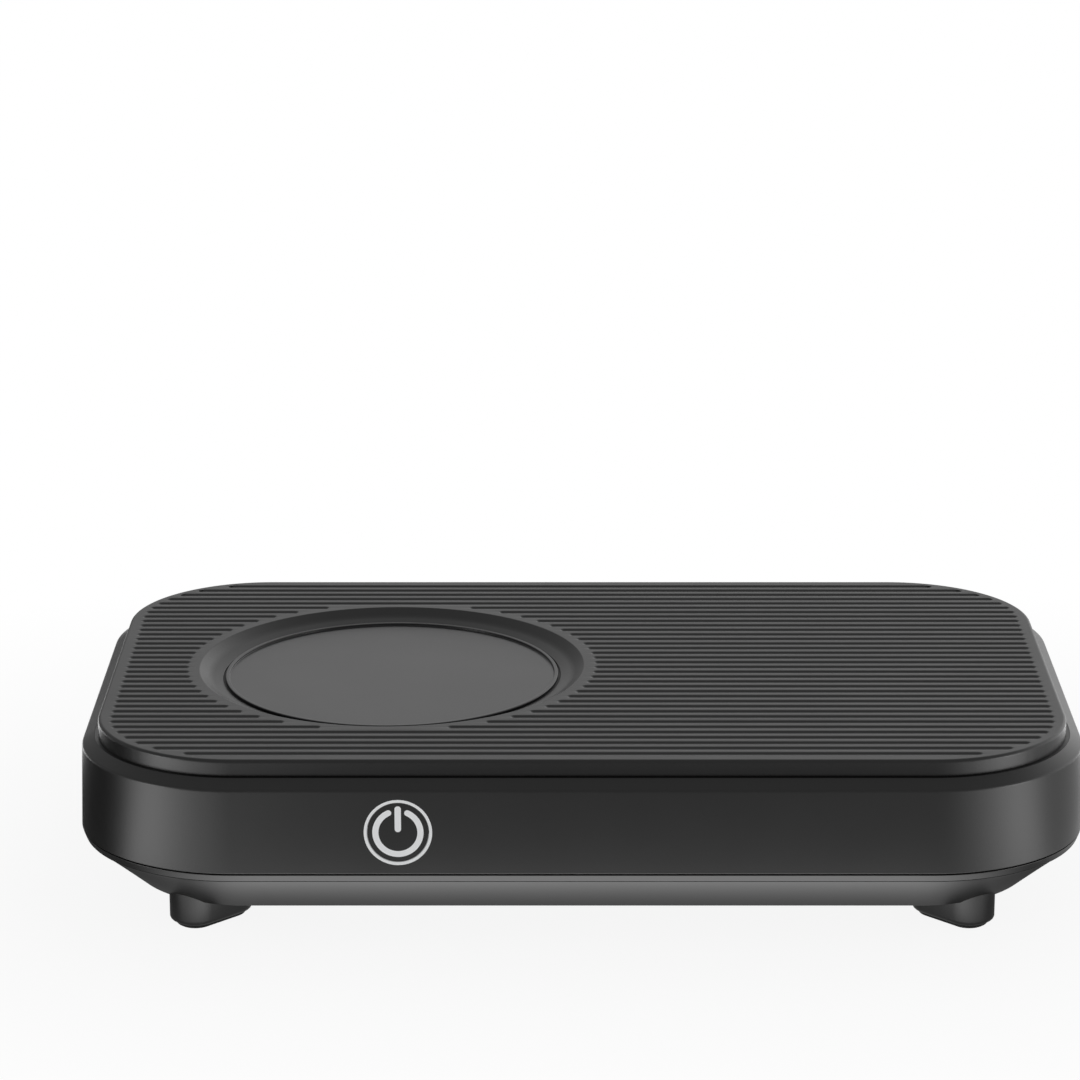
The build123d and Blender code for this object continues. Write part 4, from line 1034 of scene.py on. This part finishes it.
class WARMER_OT_stage(bpy.types.Operator):
    """Set up the camera, the floor and the soft lights"""

    bl_idname = "warmer.stage"
    bl_label = "Stage"

    def execute(self, context):
        scene = context.scene
        stage = scene.warmer_stage
        camera = bpy.data.objects.new("camera", bpy.data.cameras.new("camera"))
        camera.location = (stage.camera_x, -stage.camera_distance, stage.camera_height)
        camera.rotation_euler = (pi / 2 - stage.pitch, 0, 0)
        camera.data.lens = stage.lens
        camera.data.sensor_width = SENSOR_WIDTH
        camera.data.shift_x = stage.shift
        scene.collection.objects.link(camera)
        scene.camera = camera

        half = FLOOR_HALF
        vertices = [(-half, -half, 0), (half, -half, 0), (half, half, 0), (-half, half, 0)]
        mesh = bpy.data.meshes.new("floor")
        mesh.from_pydata(vertices, [], [(0, 1, 2, 3)])
        floor = bpy.data.objects.new("floor", mesh)
        scene.collection.objects.link(floor)
        mesh.materials.append(self.floor_with_painted_reflections(stage, scene.warmer_base))

        world = bpy.data.worlds.new("studio")
        scene.world = world
        world.use_nodes = True
        self.paint_world(world.node_tree, stage)

        self.lamp(scene, "left_softbox", LEFT_SOFTBOX, stage.left_light)
        self.lamp(scene, "right_softbox", RIGHT_SOFTBOX, stage.right_light)
        scene.view_settings.view_transform = "Standard"
        return {"FINISHED"}

    def paint_world(self, tree, stage):
        """A pale backdrop low down, brighter behind the base than in front of it, under a darker ceiling. The
        camera sees the backdrop white. Each ramp goes from one strength to another between two values of the
        direction's part along its axis. None stands for the strength that the ramps before it give."""
        place_on = add(tree, "ShaderNodeTexCoord")
        split = add(tree, "ShaderNodeSeparateXYZ", {"Vector": place_on.outputs["Generated"]})
        ramps = (
            ("X", -0.32, -0.12, stage.world_back_left, stage.world_back),
            ("X", 0.12, 0.32, None, stage.world_back_right),
            ("Y", -0.6, 0.4, stage.world_front, None),
            ("Z", 0.35, 0.8, None, stage.world_sky),
        )
        level = None
        for axis, start, end, before, after in ramps:
            links = {
                "Value": split.outputs[axis],
                "From Min": start,
                "From Max": end,
                "To Min": level if before is None else before,
                "To Max": level if after is None else after,
            }
            level = add(tree, "ShaderNodeMapRange", links).outputs[0]
        seen = add(tree, "ShaderNodeLightPath")
        strengths = {0: level, 1: seen.outputs["Is Camera Ray"]}
        final = add(tree, "ShaderNodeMath", strengths, operation="MAXIMUM")
        tree.links.new(final.outputs[0], tree.nodes["Background"].inputs["Strength"])
        tree.nodes["Background"].inputs["Color"].default_value = (1, 1, 1, 1)

    def floor_with_painted_reflections(self, stage, base):
        """Matt pale paint that keeps the shadow. The camera sees it lifted towards white, more so away from
        the base. A gloss doesn't see the lit floor but painted light: a painted shadow under the base, a
        painted strip of light beside it, plain further away, painted shade on the left and painted light on
        the right, and a painted streak of light off each corner, which gives the base's corners their
        highlights. Distance is measured from the rectangle between the outline's corner centres, and a
        streak's angle about the nearest of them, from the X axis.

        A ramp's row holds its name, what it follows, where it starts and ends in metres or radians, its level
        before and after, and its easing. A blend's row holds its name, its operation and what it joins. A
        name in a row stands for what an earlier row made."""
        floor_grey = {"Roughness": 0.9, "Base Color": (*stage.floor_grey, 1)}
        material, tree, shader, place_on = surface("pale_floor_with_painted_reflections", floor_grey)
        path = add(tree, "ShaderNodeLightPath").outputs
        centres = (*corner_centres(base), 1.0)
        folded = add(tree, "ShaderNodeVectorMath", {0: place_on}, operation="ABSOLUTE")
        beyond = add(tree, "ShaderNodeVectorMath", {0: folded.outputs[0], 1: centres}, operation="SUBTRACT")
        clipped = add(tree, "ShaderNodeVectorMath", {0: beyond.outputs[0], 1: (0, 0, 0)}, operation="MAXIMUM")
        away = add(tree, "ShaderNodeVectorMath", {0: clipped.outputs[0]}, operation="LENGTH").outputs["Value"]
        aside = add(tree, "ShaderNodeSeparateXYZ", {"Vector": place_on}).outputs["X"]
        reach = add(tree, "ShaderNodeSeparateXYZ", {"Vector": folded.outputs[0]}).outputs
        corner = add(tree, "ShaderNodeSeparateXYZ", {"Vector": beyond.outputs[0]}).outputs
        from_corner = {0: corner["Y"], 1: corner["X"]}
        azimuth = add(tree, "ShaderNodeMath", from_corner, operation="ARCTAN2").outputs[0]
        under, painted_light_streak_left, painted_light_streak_right = stage.painted_shadow_under, stage.painted_light_streak_left, stage.painted_light_streak_right
        # After lift, the ramps make painted light for the gloss: ahead and beside a painted shadow under the
        # base, near and far a painted strip of light beside it, dim and bright painted shade on the left and
        # painted light on the right, peak to fade the painted streaks of light off the corners.
        ramps = (
            ("lift", away, 0.04, 0.16, stage.floor_white, 1.0, "LINEAR"),
            ("ahead", reach["Y"], 0.053, 0.068, under, 1.0, "SMOOTHSTEP"),
            ("beside", aside, 0.104, 0.130, under, 1.0, "SMOOTHSTEP"),
            ("near", reach["X"], 0.07, 0.1, stage.painted_light_strip, 1.0, "LINEAR"),
            ("far", away, 0.045, 0.08, "near", stage.mirrored_far, "SMOOTHSTEP"),
            ("dim", aside, -0.2, -0.1, stage.painted_shade_left, 1.0, "LINEAR"),
            ("bright", aside, 0.1, 0.25, 1.0, stage.painted_light_right, "LINEAR"),
            ("peak", aside, -0.05, 0.05, painted_light_streak_left, painted_light_streak_right, "LINEAR"),
            ("start", aside, -0.05, 0.05, radians(12), radians(6), "LINEAR"),
            ("end", aside, -0.05, 0.05, radians(95), radians(76), "LINEAR"),
            ("rise", azimuth, "start", radians(28), 0.0, "peak", "SMOOTHSTEP"),
            ("fall", azimuth, radians(36), "end", 1.0, 0.0, "LINEAR"),
            ("clear", away, 0.055, 0.08, 0.0, 1.0, "LINEAR"),
            ("fade", away, 0.2, 0.45, "clear", 0.0, "LINEAR"),
        )
        blends = (
            ("seen", "MULTIPLY", path["Is Camera Ray"], "lift"),
            ("shaded", "MAXIMUM", "ahead", "beside"),
            ("plain", "MULTIPLY", "shaded", "far"),
            ("sides", "MULTIPLY", "dim", "bright"),
            ("sided", "MULTIPLY", "plain", "sides"),
            ("streak", "MULTIPLY", "rise", "fall"),
            ("lit", "MULTIPLY", "streak", "fade"),
            ("level", "ADD", "sided", "lit"),
            ("mirrored", "MAXIMUM", path["Is Glossy Ray"], path["Is Transmission Ray"]),
        )
        made = {}
        sockets = ("Value", "From Min", "From Max", "To Min", "To Max")
        for name, *inputs, easing in ramps:
            links = {socket: made.get(entry, entry) for socket, entry in zip(sockets, inputs)}
            made[name] = add(tree, "ShaderNodeMapRange", links, interpolation_type=easing).outputs[0]
        for name, operation, first, second in blends:
            links = {0: made.get(first, first), 1: made.get(second, second)}
            made[name] = add(tree, "ShaderNodeMath", links, operation=operation).outputs[0]
        white = add(tree, "ShaderNodeEmission", {"Color": (1, 1, 1, 1), "Strength": 1.0})
        shaders = {0: made["seen"], 1: shader.outputs[0], 2: white.outputs[0]}
        lifted = add(tree, "ShaderNodeMixShader", shaders)
        # Painted reflection: glossy and transmission rays see this painted light instead of the lit floor.
        gloss = add(tree, "ShaderNodeEmission", {"Color": (1, 1, 1, 1), "Strength": made["level"]})
        shaders = {0: made["mirrored"], 1: lifted.outputs[0], 2: gloss.outputs[0]}
        final = add(tree, "ShaderNodeMixShader", shaders)
        tree.links.new(final.outputs[0], tree.nodes["Material Output"].inputs["Surface"])
        return material

    def lamp(self, scene, name, at, watts):
        """A rectangular soft light that faces the middle of the base."""
        light = bpy.data.lights.new(name, "AREA")
        light.shape = "RECTANGLE"
        light.size, light.size_y = SOFTBOX_SIZE
        light.energy = watts
        lamp = bpy.data.objects.new(name, light)
        lamp.location = at
        away = Vector(at) - Vector(LAMP_AIM)
        lamp.rotation_euler = away.to_track_quat("Z", "Y").to_euler()
        scene.collection.objects.link(lamp)


class WARMER_PT_panel(bpy.types.Panel):
    """Sizes, finishes and pieces of the mug warmer"""

    bl_idname = "WARMER_PT_panel"
    bl_label = "Mug Warmer"
    bl_space_type = "VIEW_3D"
    bl_region_type = "UI"
    bl_category = "Mug Warmer"

    def draw(self, context):
        for name, group in SETTINGS.items():
            box = self.layout.box()
            box.label(text=group.__doc__)
            for key in group.__annotations__:
                box.prop(getattr(context.scene, name), key)
        for operator in OPERATORS:
            self.layout.operator(operator.bl_idname)


OPERATORS = (
    WARMER_OT_stage,
    WARMER_OT_finishes,
    WARMER_OT_cover,
    WARMER_OT_housing,
    WARMER_OT_bottom,
    WARMER_OT_pads,
    WARMER_OT_plate,
)
CLASSES = (*SETTINGS.values(), *OPERATORS, WARMER_PT_panel)


def register():
    for item in CLASSES:
        bpy.utils.register_class(item)
    for name, group in SETTINGS.items():
        setattr(bpy.types.Scene, name, bpy.props.PointerProperty(type=group))


def unregister():
    for name in SETTINGS:
        delattr(bpy.types.Scene, name)
    for item in reversed(CLASSES):
        bpy.utils.unregister_class(item)


def main():
    register()
    for operator in OPERATORS:
        group, name = operator.bl_idname.split(".")
        getattr(getattr(bpy.ops, group), name)()


if __name__ == "__main__":
    main()
